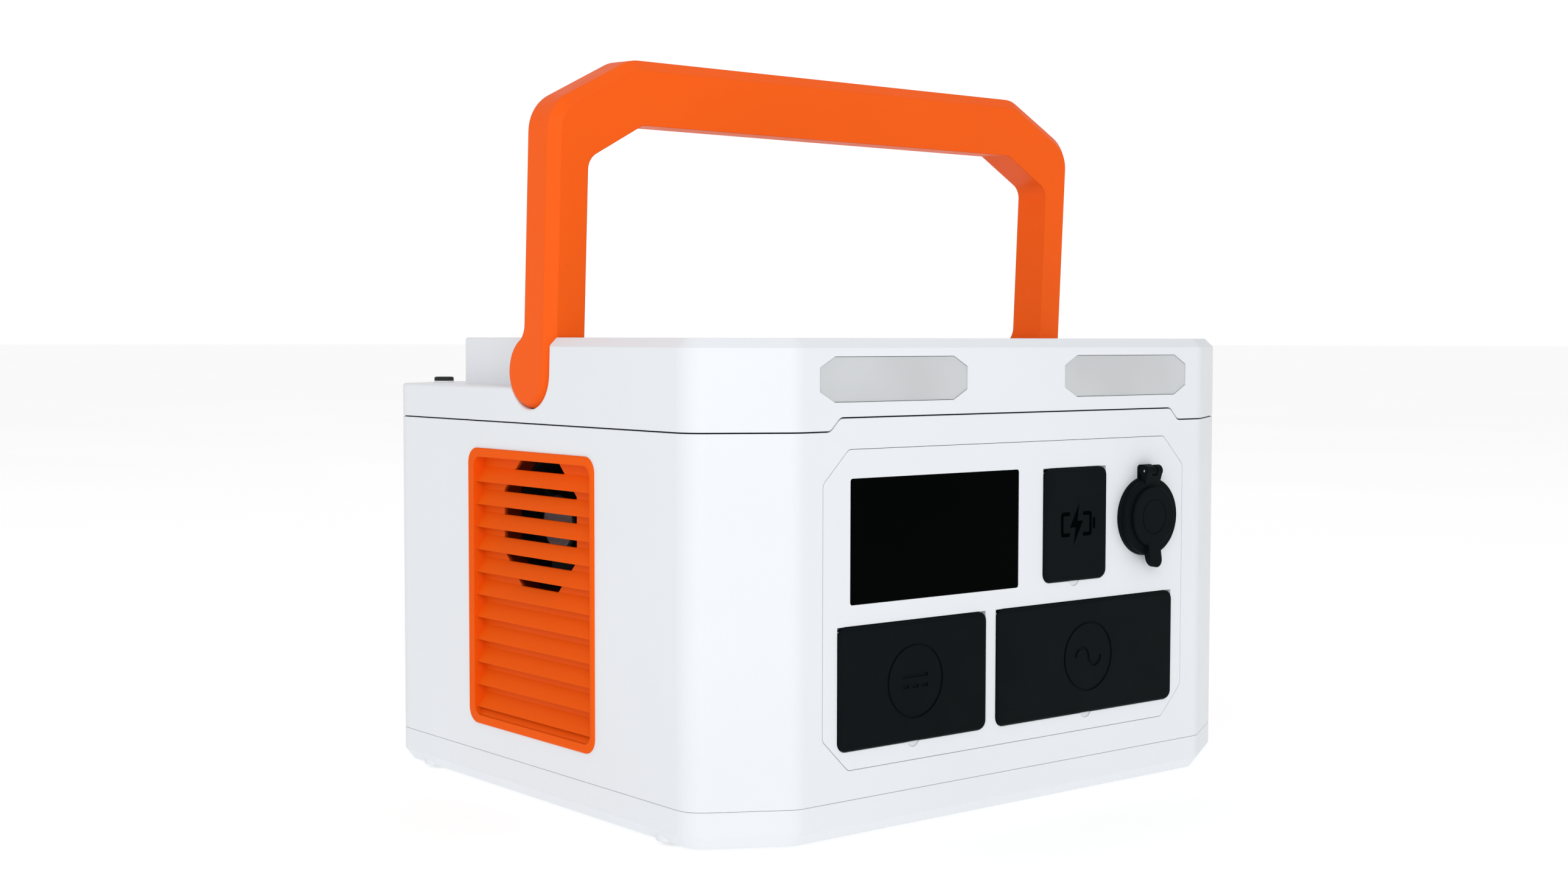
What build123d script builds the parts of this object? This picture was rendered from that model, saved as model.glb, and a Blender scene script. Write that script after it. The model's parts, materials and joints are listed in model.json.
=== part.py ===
from build123d import *
import os
from math import cos, radians, sin

# Portable power station: a white three-piece case with a folding carry handle. Millimetres.
# +X is the user's right when facing the front, the front faces -Y and +Z is up.
# The origin is on the ground under the middle of the case.

# Case
WIDTH = 320.0
DEPTH = 278.0
FOOT_HEIGHT = 2.0
BASE_SEAM_Z = 17.4
BASE_SEAM_GAP = 0.14
LID_SEAM_Z = 167.05
FRONT_SEAM_Z = 172.5
LID_SEAM_GAP = 0.6
GASKET_INSET = 1.0
DECK_Z = 182.9
TOP_Z = 204.8
WALL = 3.0
CLIP_X = 37.8
CLIP_Y = 22.4
CORNER_BLENDS = (13.0, 10.0)
BASE_CHAMFER_UP = 5.1
BASE_CHAMFER_IN = 3.8
TOP_CHAMFER = 3.9
JOG_INNER_X = 100.4
JOG_OUTER_X = 105.8
JOG_END_X = 114.0
HUMP_HALF_WIDTH = 139.7
HUMP_BACK_Y = 89.8

# Handle
PIVOT_Z = 189.6
LOBE_RADIUS = 15.5
POCKET_RADIUS = 16.0
LEG_WIDTH = 18.4
LEG_BACK = 3.9
HANDLE_HEIGHT = 137.3
LEG_OUTER_RISE = 115.0
LEG_INNER_RISE = 93.0
GRIP_HEIGHT = 28.4
HANDLE_BEVEL = 4.5
HANDLE_LEAN = 2.7
PIN_RADIUS = 5.0
RUNNING_CLEARANCE = 0.05
BUMPER_X = 131.5
BUMPER_Y = 123.5
BUMPER_PAD = 0.7

# Front panel and what it carries: centre x, centre z, width, height
PANEL_Z = 94.8
PANEL_WIDTH = 218.8
PANEL_HEIGHT = 130.2
PANEL_CLIP = 13.5
PANEL_THICKNESS = 6.0
PANEL_GAP = 0.2
DISPLAY = (-46.8, 122.5, 96.4, 51.2)
COVERS = {
    "dc": (-60.1, 62.85, 83.0, 50.5),
    "ac": (44.95, 62.85, 113.7, 50.5),
    "charge": (36.65, 122.55, 39.8, 50.1),
}
COVER_RADIUS = 4.0
COVER_PROUD = 1.2
COVER_THICKNESS = 2.8
COVER_GAP = 0.3
COVER_PIN_RADIUS = 0.5
COVER_PIN_INSET = COVER_PROUD + 0.75
BAY_INSET = 6.0
PLATE_THICKNESS = 3.0
BUTTON_RADIUS = 5.4
BUTTON_TRAVEL = 1.2
DC_BUTTON = (-37.8, 72.0)
AC_BUTTON = (85.3, 62.85)

# 12 V socket
SOCKET_X = 82.8
SOCKET_Z = 123.7
SOCKET_BORE = 10.7
SOCKET_FLANGE = 18.0
SOCKET_FLANGE_PROUD = 2.2
SOCKET_DEPTH = 44.0
CAP_RADIUS = 17.6
CAP_PIN_RADIUS = 0.6
CAP_PIN_RISE = 20.9
CAP_PIN_PROUD = 4.2

# Light lenses
LENS_X = 70.5
LENS_Z = 188.2
LENS_WIDTH = 81.0
LENS_HEIGHT = 18.0
LENS_CLIP = (7.7, 4.3)
LENS_SEAT = WALL + 1.5

# Side vents and fans
VENT_Y = -0.3
VENT_Z = 92.4
VENT_WIDTH = 101.8
VENT_HEIGHT = 125.4
VENT_RADIUS = 7.0
VENT_NECK = 1.5
VENT_PROUD = 1.0
VENT_BACKPLATE = 4.6
OPENING_Y = -1.8
OPENING_WIDTH = 94.2
OPENING_HEIGHT = 117.4
OPENING_RADIUS = 4.6
LOUVRE_COUNT = 11
LOUVRE_TOP_Z = 139.7
LOUVRE_PITCH = 10.27
LOUVRE_CUT_DEPTH = 4.5
FAN_Y = -1.6
FAN_Z = 123.2
FAN_SIZE = 60.0
FAN_THICKNESS = 25.0
FAN_FRONT = 13.4
DUCT_ACROSS = 58.7
DUCT_CLIP = 15.6
SHAFT_RADIUS = 1.5

# Fasteners
COLUMN_X = 151.5
COLUMN_Y = 95.0
CASE_SCREW_RADIUS = 2.0
SIDES = {"left": -1, "right": 1}

os.makedirs("parts", exist_ok=True)


def clipped_rectangle(width, height, clip_x, clip_y, blends=None, inset=0.0):
    """Rectangle with its four corners cut off and blended, then pulled in by inset.

    blends holds the radius at each cut's side end and at its front or back end.
    """
    x = width / 2
    y = height / 2
    quarter = [(x, y - clip_y), (x - clip_x, y)]
    left = [(-px, py) for px, py in reversed(quarter)]
    points = quarter + left + [(-px, -py) for px, py in quarter + left]
    with BuildSketch() as shape:
        with BuildLine():
            Polyline(*points, close=True)
        make_face()
        if blends:
            fillet(shape.vertices().filter_by(lambda corner: abs(corner.Y) < y - 0.01), blends[0])
            fillet(shape.vertices().filter_by(lambda corner: abs(corner.Y) > y - 0.01), blends[1])
        if inset:
            offset(amount=-inset, kind=Kind.INTERSECTION)
    return shape.sketch


def case_outline(inset=0.0):
    """Plan view of the case, pulled in by inset."""
    return clipped_rectangle(WIDTH, DEPTH, CLIP_X, CLIP_Y, CORNER_BLENDS, inset)


def panel_outline(inset=0.0):
    """Outline of the front panel, centred on itself."""
    return clipped_rectangle(PANEL_WIDTH, PANEL_HEIGHT, PANEL_CLIP, PANEL_CLIP, (3.0, 3.0), inset)


def level(z):
    """Horizontal plane at height z."""
    return Plane.XY.offset(z)


def front(depth=0.0):
    """Plane parallel to the front face, depth behind it; sketch x is X and sketch y is Z."""
    return Plane.XZ.offset(DEPTH / 2 - depth)


def side_plane(side, depth=0.0, y=0.0, z=0.0):
    """Plane parallel to a side face, depth inside it, facing out; sketch y is Z."""
    return Plane(origin=(side * (WIDTH / 2 - depth), y, z), x_dir=(0, side, 0), z_dir=(side, 0, 0))


def column_places():
    """The four corner columns that the long case screws run through."""
    return GridLocations(2 * COLUMN_X, 2 * COLUMN_Y, 2, 2)


def foot_places():
    """Four feet near the corners, and one that carries the floor under the middle."""
    return Locations((-114.0, -93.0), (114.0, -93.0), (-114.0, 93.0), (114.0, 93.0), (0, 0))


def is_at_height(edge, z):
    """Whether an edge lies level at height z."""
    box = edge.bounding_box()
    return abs(box.min.Z - z) < 0.05 and abs(box.max.Z - z) < 0.05


def bumper_places():
    """The two bumpers that the folded handle rests on."""
    return Locations((-BUMPER_X, BUMPER_Y), (BUMPER_X, BUMPER_Y))


def seam_profile(lift, foot):
    """Front view of the raised middle of the lid seam, lifted by lift, down to height foot."""
    low = LID_SEAM_Z + lift
    high = FRONT_SEAM_Z + lift
    with BuildSketch() as profile:
        with BuildLine():
            Polyline(
                (-JOG_END_X, foot),
                (-JOG_END_X, low),
                (-JOG_OUTER_X, low),
                (-JOG_INNER_X, high),
                (JOG_INNER_X, high),
                (JOG_OUTER_X, low),
                (JOG_END_X, low),
                (JOG_END_X, foot),
                close=True,
            )
        make_face()
        jogs = profile.vertices().filter_by(lambda corner: abs(corner.X) < JOG_END_X - 1.0)
        fillet(jogs, 3.6)
    return profile.sketch


def handle_plane(depth):
    """Plane across the leaning handle, depth in front of the pivot axis; sketch y runs up the legs."""
    lean = radians(HANDLE_LEAN)
    normal = Vector(0, -cos(lean), -sin(lean))
    return Plane(origin=Vector(0, 0, PIVOT_Z) + normal * depth, x_dir=(1, 0, 0), z_dir=normal)


def leg_side_plane(x):
    """Plane at x along a leaning leg, facing +X; sketch x runs to the back, sketch y up the leg."""
    lean = radians(HANDLE_LEAN)
    return Plane(origin=(x, 0, PIVOT_Z), x_dir=(0, cos(lean), sin(lean)), z_dir=(1, 0, 0))


# ---------------------------------------------------------------- case shells

with BuildPart() as base_tray:
    with BuildSketch(level(FOOT_HEIGHT)):
        add(case_outline(BASE_CHAMFER_IN))
    with BuildSketch(level(FOOT_HEIGHT + BASE_CHAMFER_UP)):
        add(case_outline())
    loft(ruled=True)
    with BuildSketch(level(FOOT_HEIGHT + BASE_CHAMFER_UP)):
        add(case_outline())
    extrude(amount=BASE_SEAM_Z - BASE_SEAM_GAP / 2 - FOOT_HEIGHT - BASE_CHAMFER_UP)
    with BuildSketch(level(FOOT_HEIGHT + WALL)):
        add(case_outline(WALL + 2.5))
    extrude(amount=BASE_SEAM_Z, mode=Mode.SUBTRACT)
    # A tongue that stands up inside the housing and closes the seam.
    with BuildSketch(level(BASE_SEAM_Z - 3.0)):
        add(case_outline(WALL + 0.3))
        add(case_outline(WALL + 2.5), mode=Mode.SUBTRACT)
    extrude(amount=7.0)
    with BuildSketch(level(FOOT_HEIGHT)):
        with column_places():
            Circle(7.0)
    extrude(amount=BASE_SEAM_Z - BASE_SEAM_GAP / 2 - FOOT_HEIGHT)
    with BuildSketch(level(BASE_SEAM_Z - BASE_SEAM_GAP / 2)):
        with column_places():
            Circle(8.0)
    extrude(amount=10.0, mode=Mode.SUBTRACT)
    with BuildSketch(level(FOOT_HEIGHT)):
        with column_places():
            Circle(4.4)
    extrude(amount=4.5, mode=Mode.SUBTRACT)
    with BuildSketch(level(FOOT_HEIGHT)):
        with column_places():
            Circle(CASE_SCREW_RADIUS + 0.4)
    extrude(amount=BASE_SEAM_Z, mode=Mode.SUBTRACT)
    with BuildSketch(level(FOOT_HEIGHT)):
        with foot_places():
            Circle(12.1)
    extrude(amount=1.2, mode=Mode.SUBTRACT)
base_tray.part.label = "base_tray"
export_step(base_tray.part, "parts/base_tray.step")

with BuildPart() as rubber_feet:
    with BuildSketch(level(0)):
        with foot_places():
            Circle(12.0)
    extrude(amount=FOOT_HEIGHT + 1.2)
    chamfer(rubber_feet.edges().group_by(Axis.Z)[0], 0.8)
rubber_feet.part.label = "rubber_feet"
export_step(rubber_feet.part, "parts/rubber_feet.step")

HOUSING_BOTTOM = BASE_SEAM_Z + BASE_SEAM_GAP / 2

with BuildPart() as housing:
    with BuildSketch(level(HOUSING_BOTTOM)):
        add(case_outline())
        add(case_outline(WALL), mode=Mode.SUBTRACT)
    extrude(amount=LID_SEAM_Z - HOUSING_BOTTOM)
    # Raised middle of the front wall, which the lid steps over.
    with BuildSketch(front()):
        add(seam_profile(0.0, LID_SEAM_Z - 5.0))
    extrude(amount=-WALL)
    with BuildSketch(level(HOUSING_BOTTOM)):
        with column_places():
            Circle(6.0)
    extrude(amount=LID_SEAM_Z - HOUSING_BOTTOM)
    with BuildSketch(level(HOUSING_BOTTOM)):
        with column_places():
            Circle(CASE_SCREW_RADIUS + 0.4)
    extrude(amount=LID_SEAM_Z, mode=Mode.SUBTRACT)
    with BuildSketch(front(-1.0)):
        with Locations((0, PANEL_Z)):
            add(panel_outline(-PANEL_GAP))
    extrude(amount=-10.0, mode=Mode.SUBTRACT)
    for side in SIDES.values():
        with BuildSketch(side_plane(side, -1.0)):
            with Locations((side * VENT_Y, VENT_Z)):
                RectangleRounded(
                    VENT_WIDTH - 2 * VENT_NECK + 0.4, VENT_HEIGHT - 2 * VENT_NECK + 0.4, 5.7
                )
        extrude(amount=-10.0, mode=Mode.SUBTRACT)
    # Blind pilot holes for the panel screws.
    with BuildSketch(front(WALL)):
        with Locations((0, PANEL_Z)):
            with GridLocations(PANEL_WIDTH + 5.0, 60.0, 2, 2):
                Circle(1.2)
            with GridLocations(120.0, PANEL_HEIGHT + 5.0, 2, 2):
                Circle(1.2)
    extrude(amount=2.2, mode=Mode.SUBTRACT)
housing.part.label = "housing"
export_step(housing.part, "parts/housing.step")

with BuildPart() as lid_gasket:
    with BuildSketch(level(LID_SEAM_Z)):
        add(case_outline(GASKET_INSET))
        add(case_outline(WALL), mode=Mode.SUBTRACT)
        with Locations((0, -DEPTH / 2)):
            Rectangle(2 * JOG_END_X, 12.0, mode=Mode.SUBTRACT)
    extrude(amount=LID_SEAM_GAP)
    # The strip that follows the raised middle of the seam.
    with BuildSketch(front(GASKET_INSET)):
        add(seam_profile(LID_SEAM_GAP, LID_SEAM_Z))
        add(seam_profile(0.0, LID_SEAM_Z - 1.0), mode=Mode.SUBTRACT)
    extrude(amount=-(WALL - GASKET_INSET))
lid_gasket.part.label = "lid_gasket"
export_step(lid_gasket.part, "parts/lid_gasket.step")

LID_BOTTOM = LID_SEAM_Z + LID_SEAM_GAP
POCKET_LENGTH = WIDTH / 2 - HUMP_HALF_WIDTH

with BuildPart() as lid_cavity:
    with BuildSketch(level(LID_BOTTOM - 1.0)):
        add(case_outline(WALL))
    extrude(amount=DECK_Z - WALL - LID_BOTTOM + 1.0)
    with BuildSketch(level(DECK_Z - WALL)):
        add(case_outline(WALL + 1.5))
        with Locations((0, -POCKET_RADIUS - WALL)):
            Rectangle(2 * WIDTH, DEPTH, align=(Align.CENTER, Align.MIN), mode=Mode.SUBTRACT)
        with Locations((0, -POCKET_RADIUS - WALL)):
            Rectangle(
                2 * (HUMP_HALF_WIDTH - WALL),
                HUMP_BACK_Y + POCKET_RADIUS,
                align=(Align.CENTER, Align.MIN),
            )
    extrude(amount=TOP_Z - DECK_Z)
    for side in SIDES.values():
        with BuildSketch(side_plane(side, -1.0, z=PIVOT_Z)):
            Circle(POCKET_RADIUS + WALL)
        extrude(amount=-(POCKET_LENGTH + WALL + 1.0), mode=Mode.SUBTRACT)

with BuildPart() as lid:
    with BuildSketch(level(LID_BOTTOM)):
        add(case_outline())
    extrude(amount=TOP_Z - TOP_CHAMFER - LID_BOTTOM)
    with BuildSketch(level(TOP_Z - TOP_CHAMFER)):
        add(case_outline())
    with BuildSketch(level(TOP_Z)):
        add(case_outline(TOP_CHAMFER))
    loft(ruled=True)
    # Behind the pivots only a narrower hump stays, over a lower deck.
    with BuildSketch(level(DECK_Z)):
        Rectangle(2 * WIDTH, DEPTH, align=(Align.CENTER, Align.MIN))
        Rectangle(2 * HUMP_HALF_WIDTH, HUMP_BACK_Y, align=(Align.CENTER, Align.MIN), mode=Mode.SUBTRACT)
    extrude(amount=TOP_Z, mode=Mode.SUBTRACT)
    # Pockets for the lobes, open upwards along the leaning legs.
    for x in (-WIDTH / 2 - 1.0, HUMP_HALF_WIDTH):
        with BuildSketch(leg_side_plane(x)):
            Circle(POCKET_RADIUS)
            Rectangle(2 * POCKET_RADIUS, 40.0, align=(Align.CENTER, Align.MIN))
        extrude(amount=POCKET_LENGTH + 1.0, mode=Mode.SUBTRACT)
    # Rounded edges: the hump's rear corners, the deck's ends at the pockets, then both rims.
    fillet(lid.edges().filter_by(Axis.Z).filter_by(lambda edge: edge.center().Z > DECK_Z + 5.0), 2.0)
    at_pockets = lid.edges().filter_by(Axis.X).filter_by(lambda edge: edge.center().Y < POCKET_RADIUS)
    fillet(at_pockets.filter_by(lambda edge: is_at_height(edge, DECK_Z)), 4.0)
    hump_rim = lid.edges().filter_by(lambda edge: edge.center().Y > 0)
    fillet(hump_rim.filter_by(lambda edge: is_at_height(edge, TOP_Z)), 1.2)
    deck_rim = lid.edges().filter_by(
        lambda edge: edge.center().Y > HUMP_BACK_Y + 1.0 or abs(edge.center().X) > WIDTH / 2 - 0.1
    )
    fillet(deck_rim.filter_by(lambda edge: is_at_height(edge, DECK_Z)), 1.2)
    add(lid_cavity.part, mode=Mode.SUBTRACT)
    # Bushing holes through the hump walls.
    with BuildSketch(Plane.YZ.offset(-WIDTH / 2)):
        with Locations((0, PIVOT_Z)):
            Circle(7.5)
    extrude(amount=WIDTH, mode=Mode.SUBTRACT)
    # The front lower edge steps over the housing.
    with BuildSketch(front(-1.0)):
        add(seam_profile(LID_SEAM_GAP, LID_BOTTOM - 2.0))
    extrude(amount=-(WALL + 2.0), mode=Mode.SUBTRACT)
    with BuildSketch(front(-1.0)):
        with Locations((-LENS_X, LENS_Z), (LENS_X, LENS_Z)):
            add(clipped_rectangle(LENS_WIDTH, LENS_HEIGHT, *LENS_CLIP, inset=-0.2))
    extrude(amount=-8.0, mode=Mode.SUBTRACT)
    # Low pads under the bumpers.
    with BuildSketch(level(DECK_Z - 0.5)):
        with bumper_places():
            Circle(4.7)
    extrude(amount=0.5 + BUMPER_PAD)
    # Bosses for the brass inserts that take the case screws.
    with BuildSketch(level(LID_BOTTOM)):
        with column_places():
            Circle(6.0)
    extrude(amount=DECK_Z - WALL - LID_BOTTOM + 0.5)
    with BuildSketch(level(LID_BOTTOM)):
        with column_places():
            Circle(3.25)
    extrude(amount=10.0, mode=Mode.SUBTRACT)
lid.part.label = "lid"
export_step(lid.part, "parts/lid.step")

with BuildPart() as lid_inserts:
    with BuildSketch(level(LID_BOTTOM)):
        with column_places():
            Circle(3.2)
            Circle(CASE_SCREW_RADIUS + 0.05, mode=Mode.SUBTRACT)
    extrude(amount=9.0)
lid_inserts.part.label = "lid_inserts"
export_step(lid_inserts.part, "parts/lid_inserts.step")

with BuildPart() as case_screws:
    with BuildSketch(level(FOOT_HEIGHT + 1.4)):
        with column_places():
            Circle(3.8)
            RegularPolygon(1.6, 6, mode=Mode.SUBTRACT)
    extrude(amount=3.1)
    with BuildSketch(level(FOOT_HEIGHT + 3.4)):
        with column_places():
            Circle(CASE_SCREW_RADIUS)
    extrude(amount=LID_BOTTOM + 8.0 - FOOT_HEIGHT - 3.4)
case_screws.part.label = "case_screws"
export_step(case_screws.part, "parts/case_screws.step")

with BuildPart() as handle_bumpers:
    with BuildSketch(level(DECK_Z + BUMPER_PAD)):
        with bumper_places():
            Circle(4.7)
    extrude(amount=PIVOT_Z - LEG_BACK - 0.15 - DECK_Z - BUMPER_PAD)
    chamfer(handle_bumpers.edges().group_by(Axis.Z)[-1], 0.5)
handle_bumpers.part.label = "handle_bumpers"
export_step(handle_bumpers.part, "parts/handle_bumpers.step")

# ---------------------------------------------------------------- carry handle


def handle_outline(inset=0.0):
    """Filled outer outline of the handle, from the pivot axis up, pulled in by inset."""
    with BuildSketch() as outline:
        with BuildLine():
            Polyline(
                (-WIDTH / 2, -60.0),
                (-WIDTH / 2, LEG_OUTER_RISE),
                (-118.0, HANDLE_HEIGHT),
                (118.0, HANDLE_HEIGHT),
                (WIDTH / 2, LEG_OUTER_RISE),
                (WIDTH / 2, -60.0),
                close=True,
            )
        make_face()
        rows = outline.vertices().group_by(Axis.Y)
        fillet(rows[-1], 16.0)
        shoulders = outline.vertices().filter_by_position(
            Axis.Y, LEG_OUTER_RISE - 1.0, LEG_OUTER_RISE + 1.0
        )
        fillet(shoulders, 18.0)
        if inset:
            offset(amount=-inset, kind=Kind.INTERSECTION)
        with Locations((0, -100.0)):
            Rectangle(2 * WIDTH, 200.0, mode=Mode.SUBTRACT)
    return outline.sketch


LEG_INNER_X = WIDTH / 2 - LEG_WIDTH
GRIP_UNDERSIDE = HANDLE_HEIGHT - GRIP_HEIGHT
WEB_RADIUS = 8.5
# The web's round is centred here, from the pivot: it touches the leg's back and the lobe.
WEB_CENTRE_RISE = ((LOBE_RADIUS + WEB_RADIUS) ** 2 - (LEG_BACK + WEB_RADIUS) ** 2) ** 0.5
# The bevel runs out round the lobe: its rim is a circle that meets the lobe at the back.
RUNOUT_RADIUS = LOBE_RADIUS - HANDLE_BEVEL / 2

with BuildPart() as lobe_bevels:
    back = leg_side_plane(0.0).x_dir
    pivot = Vector(0, 0, PIVOT_Z) + back * (HANDLE_BEVEL / 2)
    across = Plane(origin=pivot, x_dir=(1, 0, 0), z_dir=leg_side_plane(0.0).y_dir)
    reach = RUNOUT_RADIUS + HANDLE_BEVEL + 3.0
    for side in SIDES.values():
        outer = side * (WIDTH / 2 + 1.0)
        inner = side * (WIDTH / 2 - HANDLE_BEVEL - 3.0)
        with BuildSketch(across):
            with BuildLine():
                Polyline((outer, 1.0 - RUNOUT_RADIUS), (outer, -reach), (inner, -reach), close=True)
            make_face()
        revolve(axis=Axis(pivot, (1, 0, 0)), revolution_arc=180.0)

with BuildPart() as handle:
    with BuildSketch(handle_plane(-LEG_BACK)):
        add(handle_outline())
    extrude(amount=LEG_BACK + LOBE_RADIUS - HANDLE_BEVEL)
    with BuildSketch(handle_plane(LOBE_RADIUS - HANDLE_BEVEL)):
        add(handle_outline())
    with BuildSketch(handle_plane(LOBE_RADIUS)):
        add(handle_outline(HANDLE_BEVEL))
    loft(ruled=True)
    with BuildSketch(handle_plane(LOBE_RADIUS + 1.0)) as hand_opening:
        with BuildLine():
            Polyline(
                (-LEG_INNER_X, -5.0),
                (-LEG_INNER_X, LEG_INNER_RISE),
                (-113.5, GRIP_UNDERSIDE),
                (113.5, GRIP_UNDERSIDE),
                (LEG_INNER_X, LEG_INNER_RISE),
                (LEG_INNER_X, -5.0),
                close=True,
            )
        make_face()
        corners = hand_opening.vertices().group_by(Axis.Y)
        fillet(corners[1], 8.0)
        fillet(corners[2], 1.5)
    extrude(amount=-(LEG_BACK + LOBE_RADIUS + 2.0), mode=Mode.SUBTRACT)
    for x in (-WIDTH / 2, LEG_INNER_X):
        web_centre = Vector(LEG_BACK + WEB_RADIUS, WEB_CENTRE_RISE)
        on_lobe = web_centre * (LOBE_RADIUS / (LOBE_RADIUS + WEB_RADIUS))
        on_leg = Vector(LEG_BACK, WEB_CENTRE_RISE)
        middle = web_centre + ((on_lobe + on_leg) / 2 - web_centre).normalized() * WEB_RADIUS
        # The lobe leaves out the front quarter above the pivot, where the bevelled leg is.
        with BuildSketch(leg_side_plane(x)):
            Circle(LOBE_RADIUS)
            Rectangle(20.0, 20.0, align=(Align.MAX, Align.MIN), mode=Mode.SUBTRACT)
            with BuildLine():
                Polyline(on_lobe, (0, 0), (0, WEB_CENTRE_RISE), on_leg)
                ThreePointArc(on_leg, middle, on_lobe)
            make_face()
        extrude(amount=LEG_WIDTH)
    add(lobe_bevels.part, mode=Mode.SUBTRACT)
    with BuildSketch(Plane.YZ.offset(-LEG_INNER_X - 9.0)):
        with Locations((0, PIVOT_Z)):
            Circle(PIN_RADIUS)
    extrude(amount=2 * LEG_INNER_X + 18.0, mode=Mode.SUBTRACT)
handle.part.label = "handle"
export_step(handle.part, "parts/handle.step")

BUSHING_COLLAR_X = HUMP_HALF_WIDTH + 1.2
BUSHING_END_X = HUMP_HALF_WIDTH - WALL - 3.0

with BuildPart() as handle_pins:
    for x in (-LEG_INNER_X - 9.0, BUSHING_END_X - 8.0):
        with BuildSketch(Plane.YZ.offset(x)):
            with Locations((0, PIVOT_Z)):
                Circle(PIN_RADIUS)
        extrude(amount=LEG_INNER_X + 9.0 - BUSHING_END_X + 8.0)
handle_pins.part.label = "handle_pins"
export_step(handle_pins.part, "parts/handle_pins.step")

with BuildPart() as handle_pin_nuts:
    for side in SIDES.values():
        with BuildSketch(side_plane(side, WIDTH / 2 - BUSHING_END_X + 0.4, z=PIVOT_Z)):
            Circle(9.0)
            Circle(PIN_RADIUS, mode=Mode.SUBTRACT)
        extrude(amount=-1.2)
        with BuildSketch(side_plane(side, WIDTH / 2 - BUSHING_END_X + 1.6, z=PIVOT_Z)):
            RegularPolygon(8.5, 6, major_radius=False)
            Circle(PIN_RADIUS, mode=Mode.SUBTRACT)
        extrude(amount=-5.0)
handle_pin_nuts.part.label = "handle_pin_nuts"
export_step(handle_pin_nuts.part, "parts/handle_pin_nuts.step")

with BuildPart() as handle_bushings:
    for side in SIDES.values():
        with BuildSketch(side_plane(side, WIDTH / 2 - BUSHING_COLLAR_X, z=PIVOT_Z)):
            Circle(10.0)
        extrude(amount=-(BUSHING_COLLAR_X - HUMP_HALF_WIDTH))
        with BuildSketch(side_plane(side, WIDTH / 2 - HUMP_HALF_WIDTH, z=PIVOT_Z)):
            Circle(7.4)
        extrude(amount=-(HUMP_HALF_WIDTH - BUSHING_END_X))
    with BuildSketch(Plane.YZ.offset(-WIDTH / 2)):
        with Locations((0, PIVOT_Z)):
            Circle(PIN_RADIUS + RUNNING_CLEARANCE)
    extrude(amount=WIDTH, mode=Mode.SUBTRACT)
handle_bushings.part.label = "handle_bushings"
export_step(handle_bushings.part, "parts/handle_bushings.step")

# ---------------------------------------------------------------- front panel

COVER_FRONT = -COVER_PROUD
COVER_BACK = COVER_THICKNESS - COVER_PROUD
PIN_DEPTH = COVER_PIN_INSET - COVER_PROUD
BARREL_RADIUS = 1.3


def cover_pin_z(cover):
    """Height of a cover's hinge pin."""
    return cover[1] + cover[3] / 2 - COVER_PIN_INSET


with BuildPart() as front_panel:
    with BuildSketch(front()):
        with Locations((0, PANEL_Z)):
            add(panel_outline())
    extrude(amount=-PANEL_THICKNESS)
    # A flange that bears on the inside of the front wall.
    with BuildSketch(front(WALL)):
        with Locations((0, PANEL_Z)):
            add(panel_outline(-5.0))
            add(panel_outline(4.0), mode=Mode.SUBTRACT)
    extrude(amount=-2.0)
    # Pocket and opening for the display window.
    with BuildSketch(front()):
        with Locations(DISPLAY[:2]):
            RectangleRounded(DISPLAY[2] + 0.2, DISPLAY[3] + 0.2, 1.2)
    extrude(amount=-1.8, mode=Mode.SUBTRACT)
    with BuildSketch(front()):
        with Locations(DISPLAY[:2]):
            Rectangle(DISPLAY[2] - 6.0, DISPLAY[3] - 6.0)
    extrude(amount=-PANEL_THICKNESS, mode=Mode.SUBTRACT)
    for cover in COVERS.values():
        x, z, width, height = cover
        # Shallow pocket, finger notch, port bay, barrel groove and pin hole of one cover.
        with BuildSketch(front()):
            with Locations((x, z)):
                RectangleRounded(
                    width + 2 * COVER_GAP, height + 2 * COVER_GAP, COVER_RADIUS + COVER_GAP
                )
        extrude(amount=-(COVER_BACK + 0.15), mode=Mode.SUBTRACT)
        with BuildSketch(front()):
            with Locations((x, z - height / 2 + 0.8)):
                Circle(3.4)
        extrude(amount=-0.6, mode=Mode.SUBTRACT)
        with BuildSketch(front()):
            with Locations((x, z)):
                RectangleRounded(width - 2 * BAY_INSET, height - 2 * BAY_INSET, 3.0)
        extrude(amount=-PANEL_THICKNESS, mode=Mode.SUBTRACT)
        with BuildSketch(Plane.YZ.offset(x)):
            with Locations((-DEPTH / 2 + PIN_DEPTH, cover_pin_z(cover))):
                Circle(COVER_PIN_INSET + 0.3)
        extrude(amount=width / 2 + COVER_GAP, both=True, mode=Mode.SUBTRACT)
        with BuildSketch(Plane.YZ.offset(x)):
            with Locations((-DEPTH / 2 + PIN_DEPTH, cover_pin_z(cover))):
                Circle(COVER_PIN_RADIUS)
        extrude(amount=width / 2 + 2.0, both=True, mode=Mode.SUBTRACT)
    with BuildSketch(front()):
        with Locations((SOCKET_X, SOCKET_Z)):
            Circle(13.6)
    extrude(amount=-PANEL_THICKNESS, mode=Mode.SUBTRACT)
    with BuildSketch(front(WALL)):
        with Locations((0, PANEL_Z)):
            with GridLocations(PANEL_WIDTH + 5.0, 60.0, 2, 2):
                Circle(1.25)
            with GridLocations(120.0, PANEL_HEIGHT + 5.0, 2, 2):
                Circle(1.25)
    extrude(amount=-3.0, mode=Mode.SUBTRACT)
front_panel.part.label = "front_panel"
export_step(front_panel.part, "parts/front_panel.step")

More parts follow.
